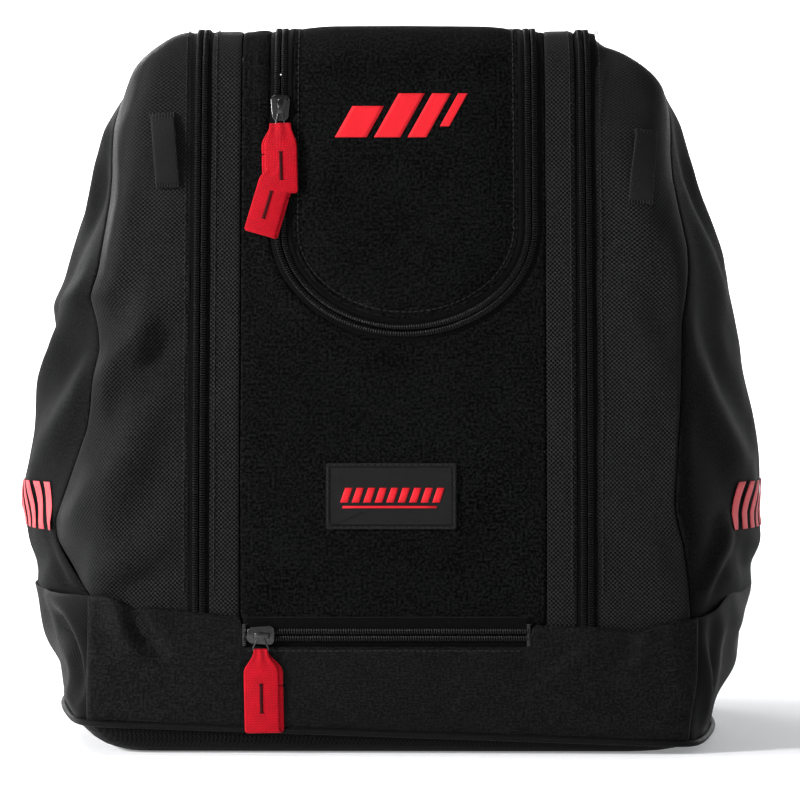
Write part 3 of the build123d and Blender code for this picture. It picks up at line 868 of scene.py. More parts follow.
def doors(sign, n):
    """A boot compartment's door: coarse front cloth, fine side cloth and stitching."""
    def seam(z):
        return seam_from_front(z, sign)

    front = door_cloth(sign, lambda z: 0.0, lambda total, z: seam(z), FRONT_FOLDS[sign], 0.5 * MM,
                       4 + sign)
    side = door_cloth(sign, seam, lambda total, z: total, GUSSET_FOLDS[sign], 1.3 * MM, 9 + sign)
    pieces = [
        cloth_piece(f"{n}_door_front_cloth", *front, BALLISTIC, 1.2 * MM, slot="ballistic_fabric",
                    replaces=(f"{n}_door_front",)),
        cloth_piece(f"{n}_door_side_cloth", *side, FINE, 1.0 * MM, slot="fine_fabric",
                    replaces=(f"{n}_door_gusset",)),
    ]
    end = PROFILE_RUN[-1] - PANEL_RUN
    line, normals = middle_line(sign * (DOOR_X + 3.2 * MM), PANEL_RUN, end, 0.1 * MM)
    pieces.append(stitches(f"{n}_door_edge_stitches", line, normals, slot="ballistic_fabric"))
    for piece in pieces:
        door_blend(piece)


def front_strip(sign, n):
    """The coarse strip between the centre panel and a side zipper, and its stitching."""
    low, high = (SEAM_X, STRIP_X) if sign > 0 else (-STRIP_X, -SEAM_X)
    x = spaced(low, high, 3.6 * MM)
    run = spaced(BOTTOM_RUN, HINGE_RUN)
    out = np.zeros((len(run), len(x)))
    out += rolled(x, low, high, 0.9 * MM)[None]
    points = middle_points(x[None], run[:, None], 0.0)
    out += 0.35 * MM * ripple(points, 30.0, 21 + sign) + 0.5 * MM
    points = middle_points(x[None], run[:, None], out)
    uv = np.stack(np.meshgrid(x, run), 2)
    cloth_piece(f"{n}_strip_cloth", points, uv, BALLISTIC, 1.2 * MM, body="bag",
                slot="ballistic_fabric", replaces=(f"{n}_front_strip",))
    line, normals = middle_line(sign * (STRIP_X - 3 * MM), PANEL_RUN, HINGE_RUN, 0.6 * MM)
    stitches(f"{n}_strip_stitches", line, normals, body="bag", slot="ballistic_fabric")


def centre_panel():
    """The fine cloth round the lid: from the lid's zipper out to the strips and down to the band."""
    inner = lid_line(-5.0 * MM, 200)
    low, high, left, right = BOTTOM_RUN, HINGE_RUN, -SEAM_X, SEAM_X
    on_arm = inner[:, 1] >= LID_BEND_RUN
    outer = inner.copy()
    outer[on_arm & (inner[:, 0] < LID_X), 0] = left
    outer[on_arm & (inner[:, 0] > LID_X), 0] = right
    bend = np.where(~on_arm)[0]
    around = np.array([[left, LID_BEND_RUN], [left, low], [right, low], [right, LID_BEND_RUN]])
    corners = lengths(around)
    spread = np.linspace(0, corners[-1], len(bend) + 2)[1:-1]
    for corner in corners[1:3]:
        spread[np.abs(spread - corner).argmin()] = corner
    outer[bend] = even(around, spread)
    share = np.concatenate([[0, 0.006, 0.014, 0.03, 0.055], np.linspace(0.09, 1, 34)])
    flat = inner[None] * (1 - share[:, None, None]) + outer[None] * share[:, None, None]
    flat = flat[::-1]
    x, run = flat[..., 0], flat[..., 1]
    gap = np.linalg.norm(flat - inner[None], axis=2)
    points = middle_points(x, run)
    rim = np.minimum(x - left, right - x)
    out = -hem_dip(gap)
    out += 0.8 * MM * np.exp(-((gap - 5 * MM) / (5 * MM)) ** 2)
    out += smooth_step(rim / (14 * MM)) * MM * (
        0.7 * ripple(points, 16.0, 31) + 0.4 * ripple(points, 44.0, 32))
    out -= hem_dip(rim, roll=2 * MM)
    points = middle_points(x, run, out)
    cloth_piece("centre_panel_cloth", points, flat, FINE, 1.1 * MM, body="bag",
                slot="fine_fabric", replaces=("centre_front_panel",))


def lid_stand(x, run):
    """How far the lid's cloth stands off the bag: proud all over, lower at its edge."""
    half, drop = LID_HALF - 5 * MM, LID_DROP - 5 * MM
    aside = np.abs(x - LID_X) / half
    below = np.clip((LID_BEND_RUN - run) / drop, 0, None)
    inset = np.clip(1 - np.hypot(aside, below), 0, 1) * half
    stand = 1.8 * MM + 1.8 * MM * smooth_step(inset / (22 * MM))
    stand += 1.6 * MM * smooth_step((LID_BEND_RUN - run) / drop) * smooth_step(inset / (9 * MM))
    stand *= 1 - 0.8 * smooth_step((run - HINGE_RUN + 45 * MM) / (40 * MM))
    return stand, inset


def lid_points(x, run, out=0.0):
    return middle_points(x, run, lid_stand(x, run)[0] + out)


def lid():
    """The lid: fine cloth with a stitched edge, standing a little proud, hinged behind the top."""
    half, drop = LID_HALF - 5 * MM, LID_DROP - 5 * MM
    turn = np.linspace(-math.pi / 2, math.pi / 2, 37)
    x = LID_X + half * np.sin(turn)
    bottom = LID_BEND_RUN - drop * np.cos(turn)
    hems = np.array([0, 0.7, 1.6, 2.6, 3.6, 4.6, 5.6, 7.0]) * MM
    share = np.linspace(0, 1, 74)
    columns = [np.concatenate([b + hems, (b + 9 * MM) + (HINGE_RUN - b - 9 * MM) * share])
               for b in bottom]
    run = np.array(columns).T
    x = np.repeat(x[None], len(run), axis=0)
    stand, inset = lid_stand(x, run)
    points = middle_points(x, run)
    out = stand - hem_dip(inset, 1.2 * MM)
    out -= 1.0 * MM * np.exp(-((inset - 4.8 * MM) / (1.1 * MM)) ** 2)
    out += 0.5 * MM * np.exp(-((inset - 2.4 * MM) / (1.4 * MM)) ** 2)
    calm = smooth_step(inset / (14 * MM))
    out += calm * MM * (0.8 * ripple(points, 15.0, 41) + 0.35 * ripple(points, 46.0, 42))
    points = middle_points(x, run, out)
    cloth = cloth_piece("lid_cloth", points, np.stack([x, run], 2), FINE, 1.1 * MM,
                        slot="fine_fabric", replaces=("lid_panel",))
    edge = lid_line(9.6 * MM)
    line = lid_points(edge[:, 0], edge[:, 1])
    normals = line_normals(line, lid_points(edge[:, 0], edge[:, 1], MM))
    sewn = stitches("lid_edge_stitches", line, normals, lift=-0.1 * MM, slot="fine_fabric")
    teeth = lid_line(0.0, 320)
    points = middle_points(teeth[:, 0], teeth[:, 1], 1.0 * MM)
    normals = line_normals(points, middle_points(teeth[:, 0], teeth[:, 1], 2.0 * MM))
    tape = ribbon("lid_tape", points, normals, np.array([-6.8, -4.6, -2.6, -2.0, -0.3]) * MM,
                  np.array([1.0, 0.6, -0.4, 0.0, 0.0]) * MM, TAPE, TAPE_THICK, 0, slot="zipper",
                  replaces=("lid_zipper_lid_half",))
    turns = coil("lid_inner_coil", points, normals, -1, lift=0.5 * MM)
    ribbon("lid_bag_tape", points, normals, np.array([0.3, 2.0, 2.6, 4.6, 6.6]) * MM,
           np.array([0.0, 0.0, -0.5, -0.9, -1.6]) * MM, TAPE, TAPE_THICK, 0, slot="zipper",
           body="bag", replaces=("lid_zipper_bag_half",))
    coil("lid_outer_coil", points, normals, 1, lift=0.5 * MM, body="bag")
    for piece in (cloth, sewn, tape, turns):
        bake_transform(piece)


def slanted_marks(name, spots, material, body, slot, blend=None):
    """A plain row of slanted bars printed on cloth: each spot is a small grid of points."""
    bm = bmesh.new()
    for points in spots:
        rows, columns = points.shape[:2]
        made = bmesh.ops.create_grid(bm, x_segments=columns - 1, y_segments=rows - 1, size=1.0)
        for vert, i, j in grid_places(made["verts"], rows, columns):
            vert.co = points[i, j]
    piece = keep(bm, name, material, body=body, slot=slot)
    thicken(piece, 0.12 * MM, 0)
    if blend:
        door_blend(piece)
    return piece


def slanted(left, right, low, high, slant, columns=8, rows=10):
    """A flat slanted bar as a grid of (across, up) places."""
    u = np.linspace(left, right, columns)[None]
    v = np.linspace(low, high, rows)[:, None]
    return u + (v - low) * slant, v + 0 * u


def lid_mark():
    """Four slanted bars on the lid, wide ones inside and narrow ones outside."""
    spots = []
    low = LID_END_RUN + 104 * MM
    plain = ((-34, -17, 0, 17), (-13, 1, 0, 24), (5, 15, 0, 24), (19, 24, 6, 24))
    for left, right, base, top in plain:
        u, v = slanted((left + LID_X / MM) * MM - 4 * MM, (right + LID_X / MM) * MM - 4 * MM,
                       0, 1, 0)
        v = low + (base + (top - base) * v) * MM
        u = u + (v - low) * 0.55
        spots.append(lid_points(u, v, 0.35 * MM))
    slanted_marks("lid_printed_bars", spots, RED_INK, "lid", "fine_fabric")


def side_marks(sign, n):
    """Slanted bars printed on the side cloth of a door."""
    spots = []
    for k in range(7):
        left = (101 + 17 * k) * MM
        u, v = slanted(left, left + 10 * MM, 0, 26 * MM, 0.35, 5, 7)
        z = 117 * MM + v
        points = np.zeros((*u.shape, 3))
        strokes = GUSSET_FOLDS[sign]
        rise = folds(u, z + 0 * u, strokes)
        for i in range(u.shape[0]):
            for j in range(u.shape[1]):
                points[i, j] = door_spot(sign, u[i, j], z[i, 0], rise[i, j] + 0.9 * MM)[0]
        spots.append(points[:, ::sign])
    slanted_marks(f"{n}_side_printed_bars", spots, PALE_RED_INK, None, "fine_fabric", blend=n)


def back_panel():
    """The back: one cloth from the lid's hinge over the top edge and down behind the pads."""
    x = spaced(-STRIP_X, STRIP_X, 6 * MM)
    run = spaced(HINGE_RUN, PROFILE_RUN[-1] - BOTTOM_RUN, 6 * MM)
    out = rolled(x, -STRIP_X, STRIP_X, 0.9 * MM)[None] + 0 * run[:, None]
    points = middle_points(x[None], run[:, None], 0.0)
    calm = smooth_step((STRIP_X - np.abs(x)) / (14 * MM))[None]
    out = out + calm * MM * (1.0 * ripple(points, 14.0, 51) + 0.4 * ripple(points, 40.0, 52))
    points = middle_points(x[None], run[:, None], out)
    cloth_piece("back_cloth", points, np.stack(np.meshgrid(x, run), 2), FINE, 1.1 * MM,
                body="bag", slot="fine_fabric", replaces=("back_panel",))
    for sign, n in SIDES:
        line, normals = middle_line(sign * (STRIP_X - 3 * MM), HINGE_RUN,
                                    PROFILE_RUN[-1] - PANEL_RUN, 0.3 * MM)
        stitches(f"{n}_back_stitches", line, normals, body="bag", slot="fine_fabric")


# ---- the base ------------------------------------------------------------------------------------
BAND_TOP = np.array([
    (-165, 84), (-158, 84.5), (-150, 84), (-144, 82), (-138, 77), (-133, 77.5), (-125, 78.5),
    (-105, 76), (-82, 73.6), (0, 70.5), (74, 69), (105, 68), (122, 67), (127, 64.5), (131, 65.5),
    (138, 68.5), (150, 71), (163, 72.5),
]) * MM


def settled(points):
    """The base leans a little: its bottom edge and band dip towards the right."""
    x, y, z = points[..., 0], points[..., 1], points[..., 2]
    bottom = PIPING_Z - 1 * MM - 0.034 * x
    top = np.interp(x, BAND_TOP[:, 0], BAND_TOP[:, 1])
    rear = smooth_step((y - FRONT_Y - 6 * MM) / (55 * MM))
    top = top * (1 - rear) + BAND_Z * rear
    up = np.clip((z - PIPING_Z) / (BAND_Z - PIPING_Z), 0, 1)
    moved = points.copy()
    low = np.clip(1 - z / PIPING_Z, 0, 1)
    right = smooth_step((x - 60 * MM) / (110 * MM)) * (1 - smooth_step((z - 10 * MM) / (50 * MM)))
    moved[..., 0] = x * (1 - 0.055 * low) - 6 * MM * right
    moved[..., 2] = np.where(z < PIPING_Z, z * bottom / PIPING_Z, bottom + (top - bottom) * up)
    return moved


CORNER = 162 * MM
BASE_FOLDS = {
    -1: [
        (172, 30, 188, 56, 214, 66, -4.5, 8), (168, 66, 190, 78, 230, 80, 3.0, 9),
        (170, 20, 190, 24, 226, 22, 2.0, 8), (250, 70, 300, 48, 350, 60, 2.4, 12),
    ],
    1: [
        (170, 76, 178, 50, 186, 24, 2.6, 6), (176, 70, 190, 44, 204, 26, -3.4, 8),
        (220, 66, 270, 44, 330, 58, 2.4, 12), (190, 74, 230, 70, 270, 76, 2.4, 9),
    ],
}


def base_side(sign, n):
    places = spaced(BASE.place_of(PIPING_Z), BASE.place_of(BAND_Z), 4.5 * MM)
    share = np.linspace(0, 1, 62)
    points, round_at, up = BASE.grid(places, lambda whole, z: CORNER + (whole - 2 * CORNER) * share)
    rim = np.minimum(round_at - round_at[:, :1], round_at[:, -1:] - round_at)
    z = points[..., 2]
    calm = smooth_step(rim / (8 * MM))
    lift = folds(round_at, z, BASE_FOLDS[sign]) * calm
    lift += 1.2 * MM * calm * ripple(points, 20.0, 61 + sign)
    lift -= hem_dip(np.minimum(rim, BASE.place_of(BAND_Z) - up))
    points = points + normals_of(points) * lift[..., None]
    uv = np.stack([round_at * sign, up], 2)
    if sign < 0:
        uv = uv[:, ::-1]
    cloth_piece(f"{n}_base_side_cloth_painted_shade", settled(mirror_points(points, sign)), uv, SHADED_SIDE_BASE_CLOTH,
                1.2 * MM, body="bag", slot="base_fabric", replaces=(f"{n}_base_band",))


# Puckers at the front band's corners and at the pocket's right end, across and up.
CORNER_PUCKERS = [
    (-138, 82, -132, 68, -122, 56, -2.2, 4.5),
    (-146, 82, -143, 66, -138, 52, 1.6, 6),
    (126, 82, 124, 68, 116, 56, -1.6, 4.5),
    (84, 52, 100, 64, 108, 74, 1.5, 5),
    (148, 80, 150, 60, 154, 40, 1.2, 6),
]


def band(name, back, node):
    """The base band across the front or the back, from corner to corner."""
    ends = (0.0, CORNER + 2 * MM)
    cuts = [POCKET[0].x, POCKET[1].x]
    x = spaced(-ends[1], ends[1], 4.2 * MM)
    if not back:
        step = 0.35 * MM
        x = np.sort(np.concatenate([x, *[[c - step, c + step] for c in cuts]]))
        x = x[np.concatenate([[True], np.diff(x) > 0.3 * MM])]
    places = spaced(BASE.place_of(PIPING_Z), BASE.place_of(BAND_Z), 4.0 * MM)
    half = np.abs(x)

    def across(whole, z):
        return whole - half if back else half

    points, round_at, up = BASE.grid(places, across)
    points[..., 0] *= np.sign(x)[None]
    if back:
        points, x = points[:, ::-1], x[::-1]
    rim = np.minimum(ends[1] - np.abs(x)[None], up[-1:, :] - up)
    calm = smooth_step((ends[1] - np.abs(x)) / (12 * MM))[None]
    welt = 1.3 * MM * np.exp(-((ends[1] - np.abs(x) - 2.6 * MM) / (2.2 * MM)) ** 2)[None]
    lift = 0.5 * MM + welt - hem_dip(rim)
    lift = lift + calm * MM * (0.9 * ripple(points, 15.0, 71) + 0.35 * ripple(points, 42.0, 72))
    if not back:
        for stroke in CORNER_PUCKERS:
            lift = lift + folds(points[..., 0], points[..., 2], [stroke])
    points = points + normals_of(points) * lift[..., None]
    points = settled(points)
    if not back:
        inside = (x > cuts[0]) & (x < cuts[1])
        lip = POCKET_Z - 6 * MM
        z = points[..., 2]
        shade = np.clip((z - z[:1]) / (z[-1:] - z[:1]), 0, 1)
        points[:, inside, 2] = (z[:1] + shade * (lip - z[:1]))[:, inside]
    uv = np.stack([np.repeat(x[None], len(up), 0), up], 2)
    cloth_piece(name, points, uv, BASE_CLOTH, 1.3 * MM, body="bag", slot="base_fabric",
                replaces=(node,))
    return points, x


def base():
    """The base: bands round it, piping, and the floor that bulges below the piping."""
    front, x = band("front_band_cloth", False, "front_base_band")
    band("back_band_cloth", True, "back_base_band")
    for sign, n in SIDES:
        base_side(sign, n)
    inside = (x > POCKET[0].x) & (x < POCKET[1].x)
    lip = front[-1, inside] + np.array([0, -0.55 * MM, -2.4 * MM])
    stitches("pocket_edge_stitches", lip, np.tile([0, -1.0, 0], (len(lip), 1)), PALE_THREAD,
             body="bag",
             slot="base_fabric", start=4 * MM, end=4 * MM)
    half = BASE.row(BASE.place_of(PIPING_Z), lambda whole, z: np.linspace(0, whole, 150))
    ring = np.vstack([half, (half * [-1, 1, 1])[::-1][1:-1]])
    out = np.column_stack([ring[:, 0] * 1.009, (ring[:, 1] - BODY_Y) * 1.009 + BODY_Y, ring[:, 2]])
    tube("bottom_piping", settled(out), 1.7 * MM, BASE_CLOTH, closed=True, body="bag",
         slot="base_fabric", replaces=("base_piping",))
    rows = [BASE.row(place, lambda whole, z: np.linspace(0, whole, 90))
            for place in np.linspace(BASE.height[0], BASE.place_of(PIPING_Z), 9)]
    lowest = rows[0]
    for shrink in (0.93, 0.8, 0.55, 0.25, 0.02):
        rows.insert(0, lowest * [shrink, shrink, 1] + [0, BODY_Y * (1 - shrink), 0])
    grid = np.array(rows)
    grid = np.concatenate([(grid * [-1, 1, 1])[:, ::-1][:, :-1], grid], axis=1)
    uv = np.stack([grid[..., 0], grid[..., 1]], 2)
    bm = cloth_grid(settled(grid), uv)
    bmesh.ops.remove_doubles(bm, verts=bm.verts[:], dist=0.05 * MM)
    thicken(keep(bm, "floor_cloth", SHADED_SIDE_BASE_CLOTH, body="bag", slot="base_fabric",
                 replaces=("base_floor",)), 1.0 * MM, 0)


def base_pocket():
    """The base pocket's zipper, between the band's stitched lip and the centre panel."""
    start, end = POCKET[0].x + 0.5 * MM, POCKET[1].x - 0.5 * MM
    x = np.linspace(start, end, 60)
    y = np.interp(POCKET_Z, FRONT_EDGE[:, 2], FRONT_EDGE[:, 1]) - 1.3 * MM
    points = np.column_stack([x, np.full(60, y), np.full(60, POCKET_Z)])
    normals = np.tile([0, -1.0, 0], (60, 1))
    # going right, "across" points down
    ribbon("pocket_lower_tape", points, normals, np.array([0.3, 2.0, 2.6, 5.0, 7.5]) * MM,
           np.array([0, 0, -0.4, -0.4, -0.6]) * MM, TAPE, TAPE_THICK, 0, body="bag", slot="zipper",
           replaces=("pocket_zipper_lower_half",))
    ribbon("pocket_upper_tape", points, normals,
           np.array([-9.5, -8.6, -7.4, -2.6, -2.0, -0.3]) * MM,
           np.array([-0.9, 0.2, 0.3, -0.3, 0, 0]) * MM, TAPE, TAPE_THICK, 0, body="bag",
           slot="zipper",
           replaces=("pocket_zipper_upper_half",))
    for side, word in ((1, "lower"), (-1, "upper")):
        coil(f"pocket_{word}_coil", points, normals, side, body="bag")
    # bar-tacks at both ends of the pocket in pale grey thread: the tacks are real, their paleness is a painted
    # highlight of the welt's ends
    ends = [Matrix.Translation((at, y - 0.7 * MM, POCKET_Z + (k - 6) * 0.9 * MM))
            for at in (start + 0.6 * MM, end - 0.6 * MM) for k in range(13)]
    bars("pocket_end_tacks_painted_highlight", ends, (1.9 * MM, 0.8 * MM, 0.6 * MM), TACK_HIGHLIGHT_THREAD, body="bag",
         slot="base_fabric")


# ---- sliders and pulls ---------------------------------------------------------------------------
def pivot(joint):
    """The place of a joint in the shared frame."""
    return Vector(next(j for j in frame["joints"] if j["name"] == joint)["pos_m"])


def slider(name, at, along, outwards, node, arch=3.0):
    """A zipper slider: a waisted top plate over the coil and an arched bridge."""
    place = facing(at, along, outwards)
    wide, long = 10.5 * MM, 14.5 * MM
    bm = bmesh.new()
    block(bm, (wide, long, 1.7 * MM))
    round_off(bm, upright_edges(bm), 3.0 * MM, 5)
    for vert in bm.verts:
        vert.co.x *= 1 - 0.2 * smooth_step((vert.co.y / long) + 0.35)
    round_off(bm, [e for e in bm.edges if e.calc_face_angle(0) > 1.2], 0.45 * MM, 3)
    bmesh.ops.translate(bm, verts=bm.verts[:], vec=(0, 0, 1.2 * MM))
    plate = set(bm.verts)
    foot = block(bm, (2.6 * MM, 1.5 * MM, 1.0 * MM), (0, -4.2 * MM, 1.6 * MM))
    start = [f for f in {f for v in foot["verts"] for f in v.link_faces} if f.normal.z > 0.9]
    turning = start + [e for f in start for e in f.edges] + [v for f in start for v in f.verts]
    bmesh.ops.spin(bm, geom=turning, cent=(0, -0.4 * MM, 2.0 * MM), axis=(-1, 0, 0), dvec=(0, 0, 0),
                   angle=math.pi, steps=12, use_merge=False, use_duplicate=False)
    for vert in bm.verts:
        if vert not in plate and vert.co.z > 2.0 * MM:
            vert.co.z = 2.0 * MM + arch * MM * ((vert.co.z - 2.0 * MM) / (4.55 * MM)) ** 0.7
    bmesh.ops.recalc_face_normals(bm, faces=bm.faces[:])
    bmesh.ops.transform(bm, matrix=place, verts=bm.verts[:])
    piece = keep(bm, name, SLIDER_METAL, body=node, slot="slider_metal", replaces=(node,))
    soft_edges(piece, 0.25 * MM, 0.9)


def pull(name, eye, down, outwards, long, wide, body, node, skew=0.0, rise=0.0,
         pinch=0.56):
    """A doubled webbing pull: round the bail, down in front, round the fold and up behind."""
    down, out = Vector(down).normalized(), Vector(outwards).normalized()
    out = (out - down * out.dot(down)).normalized()
    across = out.cross(down)
    long, wide = long * MM, wide * MM
    gap = 0.74 * MM
    path = [(t * MM, -gap, 1) for t in np.linspace(long / MM * 0.42, long / MM - 1.2, 14)]
    path += [(long - 1.0 * MM + gap * math.sin(a), -gap * math.cos(a), 1 - a / math.pi)
             for a in np.linspace(0.3, math.pi - 0.3, 6)]
    path += [(t * MM, gap, 0) for t in np.linspace(long / MM - 1.2, 1.6, 26)]
    path += [(0.4 * MM - 1.5 * MM * math.sin(a), gap * math.cos(a), a / math.pi)
             for a in np.linspace(0.3, math.pi - 0.3, 6)]
    path += [(t * MM, -gap, 1) for t in np.linspace(1.6, long / MM * 0.42, 10)]
    columns = np.linspace(-1, 1, 13)
    grid = np.zeros((len(path), len(columns), 3))
    for i, (t, o, back) in enumerate(path):
        spread = smooth_step(t / (11 * MM))
        half = wide / 2 * (pinch + (1 - pinch) * spread)
        for j, c in enumerate(columns):
            gather = (1 - smooth_step(t / (15 * MM))) * 0.35 * MM * math.cos(c * 7.0 + back * 2)
            crown = 0.5 * MM * (1 - c * c) * (1 - back * 0.5)
            cross = c * half + skew * MM * back * smooth_step(t / (8 * MM))
            lift = o + gather + crown + rise * MM * math.sin(math.pi * min(1, t / long))
            grid[i, j] = Vector(eye) + across * cross + down * t + out * lift
    run = lengths(grid[:, 6])
    u, v = np.meshgrid(columns * wide / 2, run)
    piece = keep(cloth_grid(grid, np.stack([u, v], 2)), name, RED_WEBBING, body=body,
                 slot="red_webbing", replaces=(node,))
    thicken(piece, 1.0 * MM).modifiers["thickness"].offset = 0.0
    turn = Matrix((across, -down, out)).transposed().to_4x4()
    tack = []
    first, count = 0.40, 22
    for k in range(count):
        t = long * first + k * 0.72 * MM
        lift = gap + 0.5 * MM + 0.55 * MM + rise * MM * math.sin(math.pi * t / long)
        size = 1.35 if k in (0, count - 1) else 1.0
        tack.append(Matrix.Translation(Vector(eye) + down * t + out * lift) @ turn
                    @ Matrix.Diagonal((size, 1, 1, 1)))
    bars(name + "_tack", tack, (1.7 * MM, 0.62 * MM, 0.5 * MM), DARK_RED_THREAD, body=body,
         slot="red_webbing")
    return piece


def bail(name, joint, up, outwards, body, reach, foot, head, lift=0.3):
    """A wire ring from a slider's bridge to where its pull hangs."""
    left = [(0, reach + 0.4, lift), (-head, reach, lift), (-head, reach * 0.7, lift),
            (-foot, 1.2, 0), (-foot * 0.7, 0, 0)]
    right = [(-x, y, z) for x, y, z in left[::-1]]
    place = facing(joint, up, outwards)
    line = spline(np.array(left + [(0, -0.1, 0)] + right, float) * MM, 60)
    tube(name, [place @ Vector(p) for p in line], 0.5 * MM, SLIDER_METAL, body=body,
         slot="slider_metal")


def hardware():
    """Sliders with their bails and pulls on the lid, the base pocket and the doors."""
    slope = (0.120331, 0.992734)  # the front face where the lid's sliders hang: back and up
    up, face = Vector((0, *slope)), Vector((0, -slope[1], slope[0]))
    front, rear = Vector((0, -1, 0)), Vector((0, 1, 0))
    rise = Vector((0, 0, 1))

    hang = pivot("lid_upper_pull_lift")
    slider("lid_upper_slider_body", hang + up * 9.9 * MM - face * 2.4 * MM, -up, face,
           "lid_upper_slider")
    bail("lid_upper_bail", hang, up, face, "lid_upper_slider", 7.6, 2.6, 1.2, 0.5)
    pull("lid_upper_pull_webbing", hang, Vector((0.03, -0.155, -1)), face, 37, 17.5,
         "lid_upper_pull", "lid_upper_pull", skew=-1.6, rise=0.4, pinch=0.66)

    hang = pivot("lid_lower_pull_swing")
    slider("lid_lower_slider_body", hang + up * 8.4 * MM - face * 3.3 * MM, up, face,
           "lid_lower_slider", arch=1.9)
    bail("lid_lower_bail", hang + face * 0.6 * MM, up, face, "lid_lower_slider", 6.4, 2.6, 1.2)
    pull("lid_lower_pull_webbing", hang + face * 1.4 * MM, Vector((-0.29, -0.13, -1)), face, 39.5,
         17,
         "lid_lower_pull", "lid_lower_pull", skew=1.6, rise=0.3, pinch=0.5)

    hang = pivot("pocket_pull_lift")
    slider("pocket_slider_body", Vector((hang.x, hang.y + 2.6 * MM, POCKET_Z)), (-1, 0, 0), front,
           "pocket_slider", arch=3.2)
    bail("pocket_bail", hang, rise, front, "pocket_slider", 9.6, 4.7, 1.4)
    pull("pocket_pull_webbing", hang, (0.02, 0, -1), front, 43, 18.5, "pocket_pull", "pocket_pull",
         skew=2.4, pinch=0.4)

    for sign, n in SIDES:
        hang = pivot(f"{n}_door_pull_lift")
        slider(f"{n}_door_slider_body", hang + rise * 10.8 * MM - rear * 1.75 * MM, -rise, rear,
               f"{n}_door_slider", arch=2.5)
        bail(f"{n}_door_bail", hang, rise, rear, f"{n}_door_slider", 8.5, 2.8, 1.2, 1.0)
        pull(f"{n}_door_pull_webbing", hang, (0, 0, -1), rear, 37, 17.5, f"{n}_door_pull",
             f"{n}_door_pull", skew=1.5, pinch=0.45)


def webbing_loops():
    """A vertical loop of webbing on each door, sewn at both ends and standing off between."""
    for sign, n in SIDES:
        low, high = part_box(f"{n}_webbing_loop")
        middle_x, middle_z = abs(low.x + high.x) / 2, (low.z + high.z) / 2
        long = 20.5 * MM
        line, normals = [], []
        for t in np.linspace(-1, 1, 21):
            z = middle_z + t * long
            round_at = middle_x - DOOR_X + 1.2 * MM * t
            out = 0.9 * MM + 3.0 * MM * (1 - t * t) ** 0.8
            at, _, _, outwards = door_spot(sign, round_at, z, out)
            line.append(at)
            normals.append(outwards)
        line, normals = np.array(line), np.array(normals)
        half = 6.6 * MM
        ribbon(f"{n}_loop_webbing", line, normals, np.linspace(-half, half, 9),
               0.25 * MM * np.cos(np.linspace(-1.5, 1.5, 9)), BLACK_WEBBING, 1.3 * MM,
               slot="black_webbing", body=f"{n}_door", replaces=(f"{n}_webbing_loop",))
        ends = []
        for t in (-0.93, 0.93):
            for k in range(9):
                at, across, up, outwards = door_spot(
                    sign, middle_x - DOOR_X + (k - 4) * 1.3 * MM + 1.2 * MM * t, middle_z + t * long, 2.1 * MM)
                ends.append(facing(at, up, outwards))
        bars(f"{n}_loop_stitches", ends, (0.6 * MM, 2.4 * MM, 0.4 * MM), BLACK_THREAD,
             slot="black_webbing", body=f"{n}_door")


def label():
    """The sewn rubber label: raised border, a row of slanted bars and a line under them."""
    low, high = LABEL
    x0, x1 = low.x, high.x
    z = (low.z + high.z) / 2
    centre = middle_points(np.array((x0 + x1) / 2), np.array(front_run(z)), np.array(1.0 * MM))
    above = middle_points(np.array((x0 + x1) / 2), np.array(front_run(z + 5 * MM)),
                          np.array(1.0 * MM))
    up = Vector(above - centre).normalized()
    out = Vector((1, 0, 0)).cross(up)
    place = facing(centre, up, out)
    wide, tall = x1 - x0, 35 * MM
    bm = bmesh.new()
    block(bm, (wide, tall, 1.4 * MM))
    round_off(bm, upright_edges(bm), 1.2 * MM, 4)
    top = [f for f in bm.faces if f.normal.z > 0.9]
    for thickness, depth in ((1.7, 0.0), (0.35, -0.45), (0.5, 0.0), (0.35, 0.3)):
        bmesh.ops.inset_region(bm, faces=top, thickness=thickness * MM, depth=depth * MM)
    bmesh.ops.transform(bm, matrix=place, verts=bm.verts[:])
    piece = keep(bm, "label_plate", LABEL_RUBBER, body="bag", slot="label_rubber",
                 replaces=("label_patch",), smooth=False)
    soft_edges(piece, 0.2 * MM, 0.6)
    spots = []
    for k in range(9):
        left = (-27 + 6.1 * k) * MM
        u, v = slanted(left, left + (3.9 * MM), -3.4 * MM, 4.4 * MM, 0.34, 4, 4)
        spots.append(np.array([[place @ Vector((u[i, j], v[i, 0], 0.85 * MM)) for j in range(4)]
                               for i in range(4)]))
    u, v = slanted(-26 * MM, 24 * MM, -6.4 * MM, -5.2 * MM, 0.34, 8, 3)
    spots.append(np.array([[place @ Vector((u[i, j], v[i, 0], 0.85 * MM)) for j in range(8)]
                           for i in range(3)]))
    slanted_marks("label_printed_bars", spots, RED_INK, "bag", "label_rubber")
    frame_line = [(-wide / 2 + 1 * MM, -tall / 2 + 1 * MM), (wide / 2 - 1 * MM, -tall / 2 + 1 * MM),
                  (wide / 2 - 1 * MM, tall / 2 - 1 * MM), (-wide / 2 + 1 * MM, tall / 2 - 1 * MM),
                  (-wide / 2 + 1 * MM, -tall / 2 + 1 * MM)]
    line = even(np.array(frame_line), np.linspace(0, 2 * (wide + tall) - 8 * MM, 300))
    points = np.array([place @ Vector((a, b, 0.75 * MM)) for a, b in line])
    stitches("label_stitches", points, np.tile(np.array(out), (len(points), 1)), lift=0.1 * MM,
             start=1 * MM, end=1 * MM, body="bag", slot="label_rubber")


